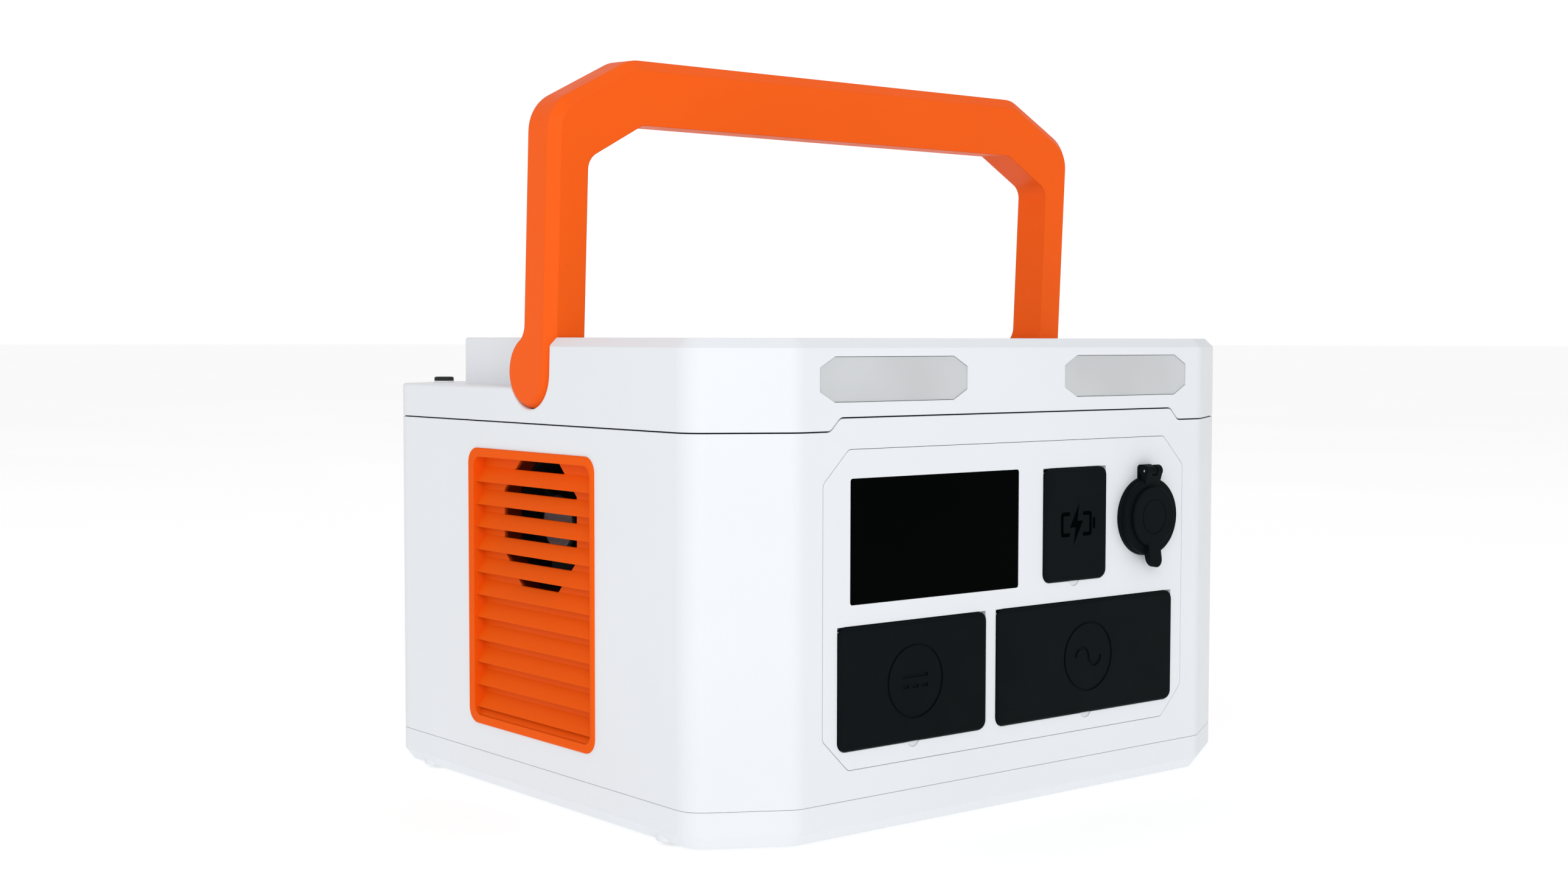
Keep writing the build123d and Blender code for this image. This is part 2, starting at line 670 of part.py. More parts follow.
with BuildPart() as panel_screws:
    with BuildSketch(front(WALL - 2.1)):
        with Locations((0, PANEL_Z)):
            with GridLocations(PANEL_WIDTH + 5.0, 60.0, 2, 2):
                Circle(1.2)
            with GridLocations(120.0, PANEL_HEIGHT + 5.0, 2, 2):
                Circle(1.2)
    extrude(amount=-4.5)
    with BuildSketch(front(WALL + 2.0)):
        with Locations((0, PANEL_Z)):
            with GridLocations(PANEL_WIDTH + 5.0, 60.0, 2, 2):
                Circle(2.4)
            with GridLocations(120.0, PANEL_HEIGHT + 5.0, 2, 2):
                Circle(2.4)
    extrude(amount=-1.8)
panel_screws.part.label = "panel_screws"
export_step(panel_screws.part, "parts/panel_screws.step")

with BuildPart() as display_window:
    with BuildSketch(front()):
        with Locations(DISPLAY[:2]):
            RectangleRounded(DISPLAY[2], DISPLAY[3], 1.1)
    extrude(amount=-1.8)
    chamfer(display_window.faces().sort_by(Axis.Y)[0].edges(), 0.2)
display_window.part.label = "display_window"
export_step(display_window.part, "parts/display_window.step")

with BuildPart() as display_module:
    with BuildSketch(front(1.8)):
        with Locations(DISPLAY[:2]):
            Rectangle(DISPLAY[2] - 7.0, DISPLAY[3] - 7.0)
    extrude(amount=-(PANEL_THICKNESS - 1.8))
display_module.part.label = "display_module"
export_step(display_module.part, "parts/display_module.step")

with BuildPart() as display_board:
    with BuildSketch(front(PANEL_THICKNESS)):
        with Locations(DISPLAY[:2]):
            Rectangle(DISPLAY[2] + 2.0, DISPLAY[3] - 2.0)
    extrude(amount=-1.6)
    with BuildSketch(front(PANEL_THICKNESS + 1.6)):
        with Locations(DISPLAY[:2]):
            with GridLocations(26.0, 20.0, 3, 2):
                Rectangle(9.0, 9.0)
    extrude(amount=-1.4)
display_board.part.label = "display_board"
export_step(display_board.part, "parts/display_board.step")

# ---------------------------------------------------------------- port covers

SIGN_RADIUS = 15.2
WAVE_RADIUS = 4.0


def ring(radius, line):
    """Flat ring in the current sketch plane."""
    Circle(radius + line / 2)
    Circle(radius - line / 2, mode=Mode.SUBTRACT)


def half_ring(x, side):
    """Half of a small ring at x; side aligns the half that is cut away."""
    with BuildSketch() as half:
        with Locations((x, 0)):
            ring(WAVE_RADIUS, 1.5)
            Rectangle(12.0, 6.0, align=(Align.CENTER, side), mode=Mode.SUBTRACT)
    return half.sketch


def cover_symbol(name):
    """Engraved symbol of a cover, centred on itself."""
    with BuildSketch() as symbol:
        if name == "charge":
            # A battery cell with a bolt across it.
            RectangleRounded(20.0, 11.0, 1.6)
            RectangleRounded(16.6, 7.6, 0.6, mode=Mode.SUBTRACT)
            with Locations((11.4, 0)):
                RectangleRounded(1.8, 5.0, 0.6)
            Rectangle(8.4, 14.0, mode=Mode.SUBTRACT)
            with BuildLine():
                Polyline(
                    (1.8, 9.6), (-4.2, -1.4), (-0.6, -1.4), (-1.8, -9.6), (4.2, 1.4), (0.6, 1.4), close=True
                )
            make_face()
        elif name == "dc":
            # Direct current: a bar over three dashes.
            ring(SIGN_RADIUS, 1.0)
            with Locations((0, 2.2)):
                Rectangle(14.0, 1.5)
            with GridLocations(5.3, 1.0, 3, 1):
                with Locations((0, -2.2)):
                    Rectangle(3.4, 1.5)
        else:
            # Alternating current: one wave.
            ring(SIGN_RADIUS, 1.0)
            add(half_ring(-WAVE_RADIUS, Align.MAX))
            add(half_ring(WAVE_RADIUS, Align.MIN))
    return symbol.sketch


for name, cover in COVERS.items():
    x, z, width, height = cover
    pin = (-DEPTH / 2 + PIN_DEPTH, cover_pin_z(cover))
    with BuildPart() as flap:
        with BuildSketch(front(COVER_BACK)):
            with Locations((x, z)):
                RectangleRounded(width, height, COVER_RADIUS)
        extrude(amount=COVER_THICKNESS)
        fillet(flap.faces().sort_by(Axis.Y)[0].edges(), 1.0)
        # Sealing rim that stands into the port bay.
        with BuildSketch(front(COVER_BACK)):
            with Locations((x, z)):
                RectangleRounded(width - 2 * BAY_INSET - 1.2, height - 2 * BAY_INSET - 1.2, 2.4)
                RectangleRounded(
                    width - 2 * BAY_INSET - 3.6, height - 2 * BAY_INSET - 3.6, 1.2, mode=Mode.SUBTRACT
                )
        extrude(amount=-1.2)
        # Hinge barrel, and a top edge rounded about the pin so that it clears the panel.
        with BuildSketch(Plane.YZ.offset(x)):
            with Locations(pin):
                Circle(BARREL_RADIUS)
        extrude(amount=width / 2 - COVER_RADIUS, both=True)
        with BuildSketch(Plane.YZ.offset(x)):
            with Locations(pin):
                Rectangle(12.0, 12.0, align=(Align.CENTER, Align.MIN))
                Circle(COVER_PIN_INSET, mode=Mode.SUBTRACT)
        extrude(amount=width, both=True, mode=Mode.SUBTRACT)
        with BuildSketch(Plane.YZ.offset(x)):
            with Locations(pin):
                Circle(COVER_PIN_RADIUS + RUNNING_CLEARANCE)
        extrude(amount=width, both=True, mode=Mode.SUBTRACT)
        with BuildSketch(front(COVER_FRONT)):
            with Locations((x, z)):
                add(cover_symbol(name))
        extrude(amount=-0.5, mode=Mode.SUBTRACT)
    flap.part.label = f"{name}_cover"
    export_step(flap.part, f"parts/{name}_cover.step")

with BuildPart() as cover_pins:
    for cover in COVERS.values():
        with BuildSketch(Plane.YZ.offset(cover[0])):
            with Locations((-DEPTH / 2 + PIN_DEPTH, cover_pin_z(cover))):
                Circle(COVER_PIN_RADIUS)
        extrude(amount=cover[2] / 2 + 2.0, both=True)
cover_pins.part.label = "cover_pins"
export_step(cover_pins.part, "parts/cover_pins.step")

# ---------------------------------------------------------------- ports behind the covers

PLATE_FRONT = PANEL_THICKNESS
PLATE_BACK = PLATE_FRONT + PLATE_THICKNESS
USB_A = [(-84.0, 72.0), (-62.0, 72.0)]
USB_C = [(-86.0, 53.5), (-70.0, 53.5)]
DC_JACKS = [(-53.0, 53.5), (-36.5, 53.5)]
AC_OUTLETS = [(17.4, 62.85), (56.4, 62.85)]
INLET = (36.65, 114.5)
SOLAR_JACK = (36.65, 134.0)
USB_DEPTH = 14.0
OUTLET_DEPTH = 22.0
INLET_DEPTH = 22.0


def plate_outline(cover):
    """Outline of the plate that closes a port bay from behind."""
    x, z, width, height = cover
    with BuildSketch() as outline:
        with Locations((x, z)):
            RectangleRounded(width - 2 * BAY_INSET + 6.0, height - 2 * BAY_INSET + 6.0, 3.0)
    return outline.sketch


with BuildPart() as dc_port_plate:
    with BuildSketch(front(PLATE_FRONT)):
        add(plate_outline(COVERS["dc"]))
    extrude(amount=-PLATE_THICKNESS)
    with BuildSketch(front(PLATE_FRONT)):
        with Locations(*USB_A):
            RectangleRounded(14.2, 6.9, 0.6)
        with Locations(*USB_C):
            RectangleRounded(10.2, 4.4, 2.1)
        with Locations(*DC_JACKS):
            Circle(5.1)
        with Locations(DC_BUTTON):
            Circle(BUTTON_RADIUS + 0.25)
    extrude(amount=-PLATE_THICKNESS, mode=Mode.SUBTRACT)
dc_port_plate.part.label = "dc_port_plate"
export_step(dc_port_plate.part, "parts/dc_port_plate.step")

with BuildPart() as usb_shells:
    with BuildSketch(front(PLATE_FRONT)):
        with Locations(*USB_A):
            RectangleRounded(14.0, 6.7, 0.5)
            Rectangle(12.5, 5.2, mode=Mode.SUBTRACT)
        with Locations(*USB_C):
            RectangleRounded(10.0, 4.2, 2.0)
            RectangleRounded(8.6, 2.8, 1.35, mode=Mode.SUBTRACT)
    extrude(amount=-USB_DEPTH)
usb_shells.part.label = "usb_shells"
export_step(usb_shells.part, "parts/usb_shells.step")

with BuildPart() as usb_tongues:
    with BuildSketch(front(PLATE_FRONT + 1.0)):
        for place in USB_A:
            with Locations((place[0], place[1] + 1.0)):
                Rectangle(11.0, 1.9)
        with Locations(*USB_C):
            Rectangle(6.6, 0.8)
    extrude(amount=-(USB_DEPTH - 1.0))
usb_tongues.part.label = "usb_tongues"
export_step(usb_tongues.part, "parts/usb_tongues.step")

with BuildPart() as barrel_jacks:
    with BuildSketch(front(PLATE_FRONT)):
        with Locations(*DC_JACKS):
            Circle(5.0)
            Circle(2.8, mode=Mode.SUBTRACT)
        with Locations(SOLAR_JACK):
            Circle(5.5)
            Circle(4.0, mode=Mode.SUBTRACT)
    extrude(amount=-USB_DEPTH)
    with BuildSketch(front(PLATE_FRONT + USB_DEPTH - 3.0)):
        with Locations(*DC_JACKS, SOLAR_JACK):
            Circle(4.5)
    extrude(amount=-3.0)
    with BuildSketch(front(PLATE_FRONT + 2.0)):
        with Locations(*DC_JACKS, SOLAR_JACK):
            Circle(0.9)
    extrude(amount=-(USB_DEPTH - 2.0))
barrel_jacks.part.label = "barrel_jacks"
export_step(barrel_jacks.part, "parts/barrel_jacks.step")

with BuildPart() as ac_port_plate:
    with BuildSketch(front(PLATE_FRONT)):
        add(plate_outline(COVERS["ac"]))
    extrude(amount=-PLATE_THICKNESS)
    with BuildSketch(front(PLATE_FRONT)):
        with Locations(*AC_OUTLETS):
            RectangleRounded(34.2, 28.2, 6.1)
        with Locations(AC_BUTTON):
            Circle(BUTTON_RADIUS + 0.25)
    extrude(amount=-PLATE_THICKNESS, mode=Mode.SUBTRACT)
ac_port_plate.part.label = "ac_port_plate"
export_step(ac_port_plate.part, "parts/ac_port_plate.step")

with BuildPart() as ac_outlets:
    with BuildSketch(front(PLATE_FRONT)):
        with Locations(*AC_OUTLETS):
            RectangleRounded(34.0, 28.0, 6.0)
    extrude(amount=-OUTLET_DEPTH)
    # Two blade slots and a round earth hole in each.
    with BuildSketch(front(PLATE_FRONT)):
        for x, z in AC_OUTLETS:
            with Locations((x - 6.35, z + 3.6)):
                Rectangle(2.3, 8.4)
            with Locations((x + 6.35, z + 3.6)):
                Rectangle(2.3, 6.9)
            with Locations((x, z - 8.0)):
                Circle(2.5)
    extrude(amount=-17.0, mode=Mode.SUBTRACT)
ac_outlets.part.label = "ac_outlets"
export_step(ac_outlets.part, "parts/ac_outlets.step")

with BuildPart() as charge_port_plate:
    with BuildSketch(front(PLATE_FRONT)):
        add(plate_outline(COVERS["charge"]))
    extrude(amount=-PLATE_THICKNESS)
    with BuildSketch(front(PLATE_FRONT)):
        with Locations(INLET):
            RectangleRounded(27.2, 19.2, 2.1)
        with Locations(SOLAR_JACK):
            Circle(5.6)
    extrude(amount=-PLATE_THICKNESS, mode=Mode.SUBTRACT)
charge_port_plate.part.label = "charge_port_plate"
export_step(charge_port_plate.part, "parts/charge_port_plate.step")

with BuildPart() as ac_inlet:
    with BuildSketch(front(PLATE_FRONT)):
        with Locations(INLET):
            RectangleRounded(27.0, 19.0, 2.0)
    extrude(amount=-INLET_DEPTH)
    with BuildSketch(front(PLATE_FRONT)):
        with Locations(INLET):
            add(clipped_rectangle(24.4, 16.6, 3.0, 3.0))
    extrude(amount=-(INLET_DEPTH - 4.0), mode=Mode.SUBTRACT)
ac_inlet.part.label = "ac_inlet"
export_step(ac_inlet.part, "parts/ac_inlet.step")

with BuildPart() as inlet_blades:
    with BuildSketch(front(PLATE_FRONT + 4.0)):
        for dx, dz in ((-7.0, -2.0), (0.0, 2.0), (7.0, -2.0)):
            with Locations((INLET[0] + dx, INLET[1] + dz)):
                Rectangle(2.0, 4.0)
    extrude(amount=-(INLET_DEPTH - 8.0))
inlet_blades.part.label = "inlet_blades"
export_step(inlet_blades.part, "parts/inlet_blades.step")

BUTTON_FRONT = PLATE_FRONT - 1.2
BUTTON_FLANGE = PLATE_BACK + 0.2
BUTTON_STEM_END = BUTTON_FLANGE + 5.0

for name, place in {"dc": DC_BUTTON, "ac": AC_BUTTON}.items():
    with BuildPart() as button:
        with BuildSketch(front(BUTTON_FRONT)):
            with Locations(place):
                Circle(BUTTON_RADIUS)
        extrude(amount=-(BUTTON_FLANGE - BUTTON_FRONT))
        fillet(button.faces().sort_by(Axis.Y)[0].edges(), 0.6)
        with BuildSketch(front(BUTTON_FLANGE)):
            with Locations(place):
                Circle(BUTTON_RADIUS + 1.2)
        extrude(amount=-1.4)
        with BuildSketch(front(BUTTON_FLANGE + 1.4)):
            with Locations(place):
                Circle(1.8)
        extrude(amount=-(BUTTON_STEM_END - BUTTON_FLANGE - 1.4))
    button.part.label = f"{name}_button"
    export_step(button.part, f"parts/{name}_button.step")

DC_BOARD = PLATE_FRONT + USB_DEPTH
AC_BOARD = PLATE_FRONT + OUTLET_DEPTH

with BuildPart() as button_switches:
    for place, board in ((DC_BUTTON, DC_BOARD), (AC_BUTTON, AC_BOARD)):
        with BuildSketch(front(BUTTON_STEM_END + BUTTON_TRAVEL + 0.2)):
            with Locations(place):
                Rectangle(7.0, 7.0)
        extrude(amount=-(board - BUTTON_STEM_END - BUTTON_TRAVEL - 0.2))
button_switches.part.label = "button_switches"
export_step(button_switches.part, "parts/button_switches.step")

with BuildPart() as port_boards:
    with BuildSketch(front(DC_BOARD)):
        with Locations(COVERS["dc"][:2]):
            Rectangle(76.0, 42.0)
    extrude(amount=-1.6)
    with BuildSketch(front(AC_BOARD)):
        with Locations(COVERS["ac"][:2]):
            Rectangle(108.0, 42.0)
    extrude(amount=-1.6)
    with BuildSketch(front(PLATE_FRONT + INLET_DEPTH)):
        with Locations(COVERS["charge"][:2]):
            Rectangle(34.0, 46.0)
    extrude(amount=-1.6)
port_boards.part.label = "port_boards"
export_step(port_boards.part, "parts/port_boards.step")

# ---------------------------------------------------------------- 12 V socket

CAP_PIN_Z = SOCKET_Z + CAP_PIN_RISE
FLANGE_FRONT = -SOCKET_FLANGE_PROUD
TONGUE_PROUD = 1.2
KNUCKLE_RADIUS = 2.4
KNUCKLE_HALF_WIDTH = 1.6
EAR_RADIUS = 2.7
EAR_INNER = 1.9
EAR_OUTER = 5.0


def cap_pin_place():
    """The cap's hinge pin, on a plane across X."""
    return Locations((-DEPTH / 2 - CAP_PIN_PROUD, CAP_PIN_Z))


with BuildPart() as car_socket:
    with BuildSketch(front(FLANGE_FRONT)):
        with Locations((SOCKET_X, SOCKET_Z)):
            Circle(SOCKET_FLANGE)
    extrude(amount=-SOCKET_FLANGE_PROUD)
    fillet(car_socket.faces().sort_by(Axis.Y)[0].edges(), 0.8)
    # Tongue above the flange, with one knuckle for the cap's hinge pin.
    with BuildSketch(front(-TONGUE_PROUD)):
        with Locations((SOCKET_X, CAP_PIN_Z + EAR_RADIUS)):
            RectangleRounded(9.4, 9.0, 1.5, align=(Align.CENTER, Align.MAX))
    extrude(amount=-TONGUE_PROUD)
    with BuildSketch(Plane.YZ.offset(SOCKET_X)):
        with cap_pin_place():
            Circle(KNUCKLE_RADIUS)
            Rectangle(CAP_PIN_PROUD, 2 * KNUCKLE_RADIUS, align=(Align.MIN, Align.CENTER))
    extrude(amount=KNUCKLE_HALF_WIDTH, both=True)
    with BuildSketch(front()):
        with Locations((SOCKET_X, SOCKET_Z)):
            Circle(13.4)
    extrude(amount=-SOCKET_DEPTH)
    with BuildSketch(front(FLANGE_FRONT)):
        with Locations((SOCKET_X, SOCKET_Z)):
            Circle(SOCKET_BORE + 0.6)
    extrude(amount=-(SOCKET_DEPTH + SOCKET_FLANGE_PROUD - 3.0), mode=Mode.SUBTRACT)
    with BuildSketch(Plane.YZ.offset(SOCKET_X)):
        with cap_pin_place():
            Circle(CAP_PIN_RADIUS)
    extrude(amount=KNUCKLE_HALF_WIDTH, both=True, mode=Mode.SUBTRACT)
    with BuildSketch(front(SOCKET_DEPTH - 4.0)):
        with Locations((SOCKET_X, SOCKET_Z)):
            Circle(2.5)
    extrude(amount=-5.0, mode=Mode.SUBTRACT)
car_socket.part.label = "car_socket"
export_step(car_socket.part, "parts/car_socket.step")

with BuildPart() as car_socket_liner:
    with BuildSketch(front(0.5)):
        with Locations((SOCKET_X, SOCKET_Z)):
            Circle(SOCKET_BORE + 0.6)
            Circle(SOCKET_BORE, mode=Mode.SUBTRACT)
    extrude(amount=-(SOCKET_DEPTH - 6.0))
car_socket_liner.part.label = "car_socket_liner"
export_step(car_socket_liner.part, "parts/car_socket_liner.step")

with BuildPart() as car_socket_contact:
    with BuildSketch(front(SOCKET_DEPTH - 5.0)):
        with Locations((SOCKET_X, SOCKET_Z)):
            Circle(4.0)
    extrude(amount=-2.0)
    with BuildSketch(front(SOCKET_DEPTH - 3.0)):
        with Locations((SOCKET_X, SOCKET_Z)):
            Circle(2.5)
    extrude(amount=-7.0)
car_socket_contact.part.label = "car_socket_contact"
export_step(car_socket_contact.part, "parts/car_socket_contact.step")

with BuildPart() as car_socket_nut:
    with BuildSketch(front(PANEL_THICKNESS)):
        with Locations((SOCKET_X, SOCKET_Z)):
            RegularPolygon(17.0, 12)
            Circle(13.4, mode=Mode.SUBTRACT)
    extrude(amount=-6.0)
car_socket_nut.part.label = "car_socket_nut"
export_step(car_socket_nut.part, "parts/car_socket_nut.step")

CAP_BACK = FLANGE_FRONT - 0.3
CAP_RIM = CAP_BACK - 2.4
CAP_FRONT = CAP_RIM - 1.6
TAB_END = 23.0

with BuildPart() as pull_tab:
    # Leans outwards below the disc; the profile is cut to the slot shape.
    with BuildSketch(Plane(origin=(SOCKET_X, -DEPTH / 2, SOCKET_Z), x_dir=(0, 1, 0), z_dir=(1, 0, 0))):
        with BuildLine():
            Polyline(
                (CAP_FRONT, -11.0),
                (CAP_FRONT - 1.8, -TAB_END),
                (CAP_FRONT + 1.0, -TAB_END),
                (CAP_RIM + 1.6, -14.0),
                (CAP_RIM + 1.6, -11.0),
                close=True,
            )
        make_face()
    extrude(amount=5.0, both=True)
    with BuildSketch(front(2 * CAP_FRONT)):
        with Locations((SOCKET_X, SOCKET_Z - TAB_END + 7.8)):
            SlotCenterToCenter(7.8, 7.8, rotation=90)
    extrude(amount=2 * CAP_FRONT, mode=Mode.INTERSECT)

with BuildPart() as car_socket_cap:
    with BuildSketch(front(CAP_BACK)):
        with Locations((SOCKET_X, SOCKET_Z)):
            Circle(CAP_RADIUS)
    extrude(amount=CAP_BACK - CAP_RIM)
    fillet(car_socket_cap.faces().sort_by(Axis.Y)[0].edges(), 0.9)
    # Raised middle with a fine circle cut into it.
    with BuildSketch(front(CAP_RIM)):
        with Locations((SOCKET_X, SOCKET_Z)):
            Circle(13.8)
    extrude(amount=CAP_RIM - CAP_FRONT)
    fillet(car_socket_cap.faces().sort_by(Axis.Y)[0].edges(), 0.8)
    with BuildSketch(front(CAP_FRONT)):
        with Locations((SOCKET_X, SOCKET_Z)):
            ring(7.8, 0.4)
    extrude(amount=-0.2, mode=Mode.SUBTRACT)
    add(pull_tab.part)
    # Hinge block down to the disc, slotted for the knuckle so that two ears stand round the pin.
    with BuildSketch(Plane.YZ.offset(SOCKET_X)):
        with cap_pin_place():
            Circle(EAR_RADIUS)
        with BuildLine():
            Polyline(
                (-DEPTH / 2 - CAP_PIN_PROUD - EAR_RADIUS, CAP_PIN_Z),
                (-DEPTH / 2 + CAP_RIM, SOCKET_Z + 14.5),
                (-DEPTH / 2 + CAP_BACK, SOCKET_Z + 14.5),
                (-DEPTH / 2 + CAP_BACK, CAP_PIN_Z),
                close=True,
            )
        make_face()
    extrude(amount=EAR_OUTER, both=True)
    with BuildSketch(Plane.YZ.offset(SOCKET_X)):
        with cap_pin_place():
            Circle(KNUCKLE_RADIUS + 0.5)
            Rectangle(8.0, 8.0, align=(Align.CENTER, Align.MIN))
            Rectangle(4.0, KNUCKLE_RADIUS + 0.5, align=(Align.MIN, Align.MAX))
    extrude(amount=EAR_INNER, both=True, mode=Mode.SUBTRACT)
    # Spigot that stands into the bore.
    with BuildSketch(front(CAP_BACK)):
        with Locations((SOCKET_X, SOCKET_Z)):
            Circle(9.3)
            Circle(7.6, mode=Mode.SUBTRACT)
    extrude(amount=-2.6)
    with BuildSketch(Plane.YZ.offset(SOCKET_X)):
        with cap_pin_place():
            Circle(CAP_PIN_RADIUS + RUNNING_CLEARANCE)
    extrude(amount=EAR_OUTER, both=True, mode=Mode.SUBTRACT)
car_socket_cap.part.label = "car_socket_cap"
export_step(car_socket_cap.part, "parts/car_socket_cap.step")

with BuildPart() as cap_hinge_pin:
    with BuildSketch(Plane.YZ.offset(SOCKET_X)):
        with cap_pin_place():
            Circle(CAP_PIN_RADIUS)
    extrude(amount=EAR_OUTER - 0.3, both=True)
cap_hinge_pin.part.label = "cap_hinge_pin"
export_step(cap_hinge_pin.part, "parts/cap_hinge_pin.step")

# ---------------------------------------------------------------- lights

with BuildPart() as light_lenses:
    for x in (-LENS_X, LENS_X):
        with BuildSketch(front(0.5)):
            with Locations((x, LENS_Z)):
                add(clipped_rectangle(LENS_WIDTH, LENS_HEIGHT, *LENS_CLIP))
        extrude(amount=-(LENS_SEAT - 0.5))
        with BuildSketch(front(LENS_SEAT)):
            with Locations((x, LENS_Z)):
                add(clipped_rectangle(LENS_WIDTH, LENS_HEIGHT, *LENS_CLIP, inset=-2.0))
        extrude(amount=-1.4)
        with BuildSketch(front(LENS_SEAT + 1.4)):
            with Locations((x, LENS_Z)):
                add(clipped_rectangle(LENS_WIDTH, LENS_HEIGHT, *LENS_CLIP, inset=-2.0))
                add(
                    clipped_rectangle(LENS_WIDTH, LENS_HEIGHT, *LENS_CLIP, inset=0.5),
                    mode=Mode.SUBTRACT,
                )
        extrude(amount=-3.6)
light_lenses.part.label = "light_lenses"
export_step(light_lenses.part, "parts/light_lenses.step")

with BuildPart() as light_boards:
    for x in (-LENS_X, LENS_X):
        with BuildSketch(front(LENS_SEAT + 5.0)):
            with Locations((x, LENS_Z)):
                add(clipped_rectangle(LENS_WIDTH, LENS_HEIGHT, *LENS_CLIP, inset=-2.0))
        extrude(amount=-1.6)
        with BuildSketch(front(LENS_SEAT + 5.0)):
            with Locations((x, LENS_Z)):
                with GridLocations(9.4, 1.0, 8, 1):
                    Rectangle(3.5, 2.8)
        extrude(amount=0.8)
light_boards.part.label = "light_boards"
export_step(light_boards.part, "parts/light_boards.step")

# ---------------------------------------------------------------- side vents and fans

NECK_WIDTH = VENT_WIDTH - 2 * VENT_NECK
NECK_HEIGHT = VENT_HEIGHT - 2 * VENT_NECK
SILL_Z = VENT_Z - OPENING_HEIGHT / 2
DUCT_WALL = 2.0


def fan_plane(side, depth):
    """Plane across a fan's axis, depth inside the side face, facing out."""
    return side_plane(side, depth, y=FAN_Y, z=FAN_Z)


def duct_outline(inset=0.0):
    """Outline of the duct to the fan, centred on the fan's axis."""
    return clipped_rectangle(DUCT_ACROSS, DUCT_ACROSS, DUCT_CLIP, DUCT_CLIP, inset=inset)


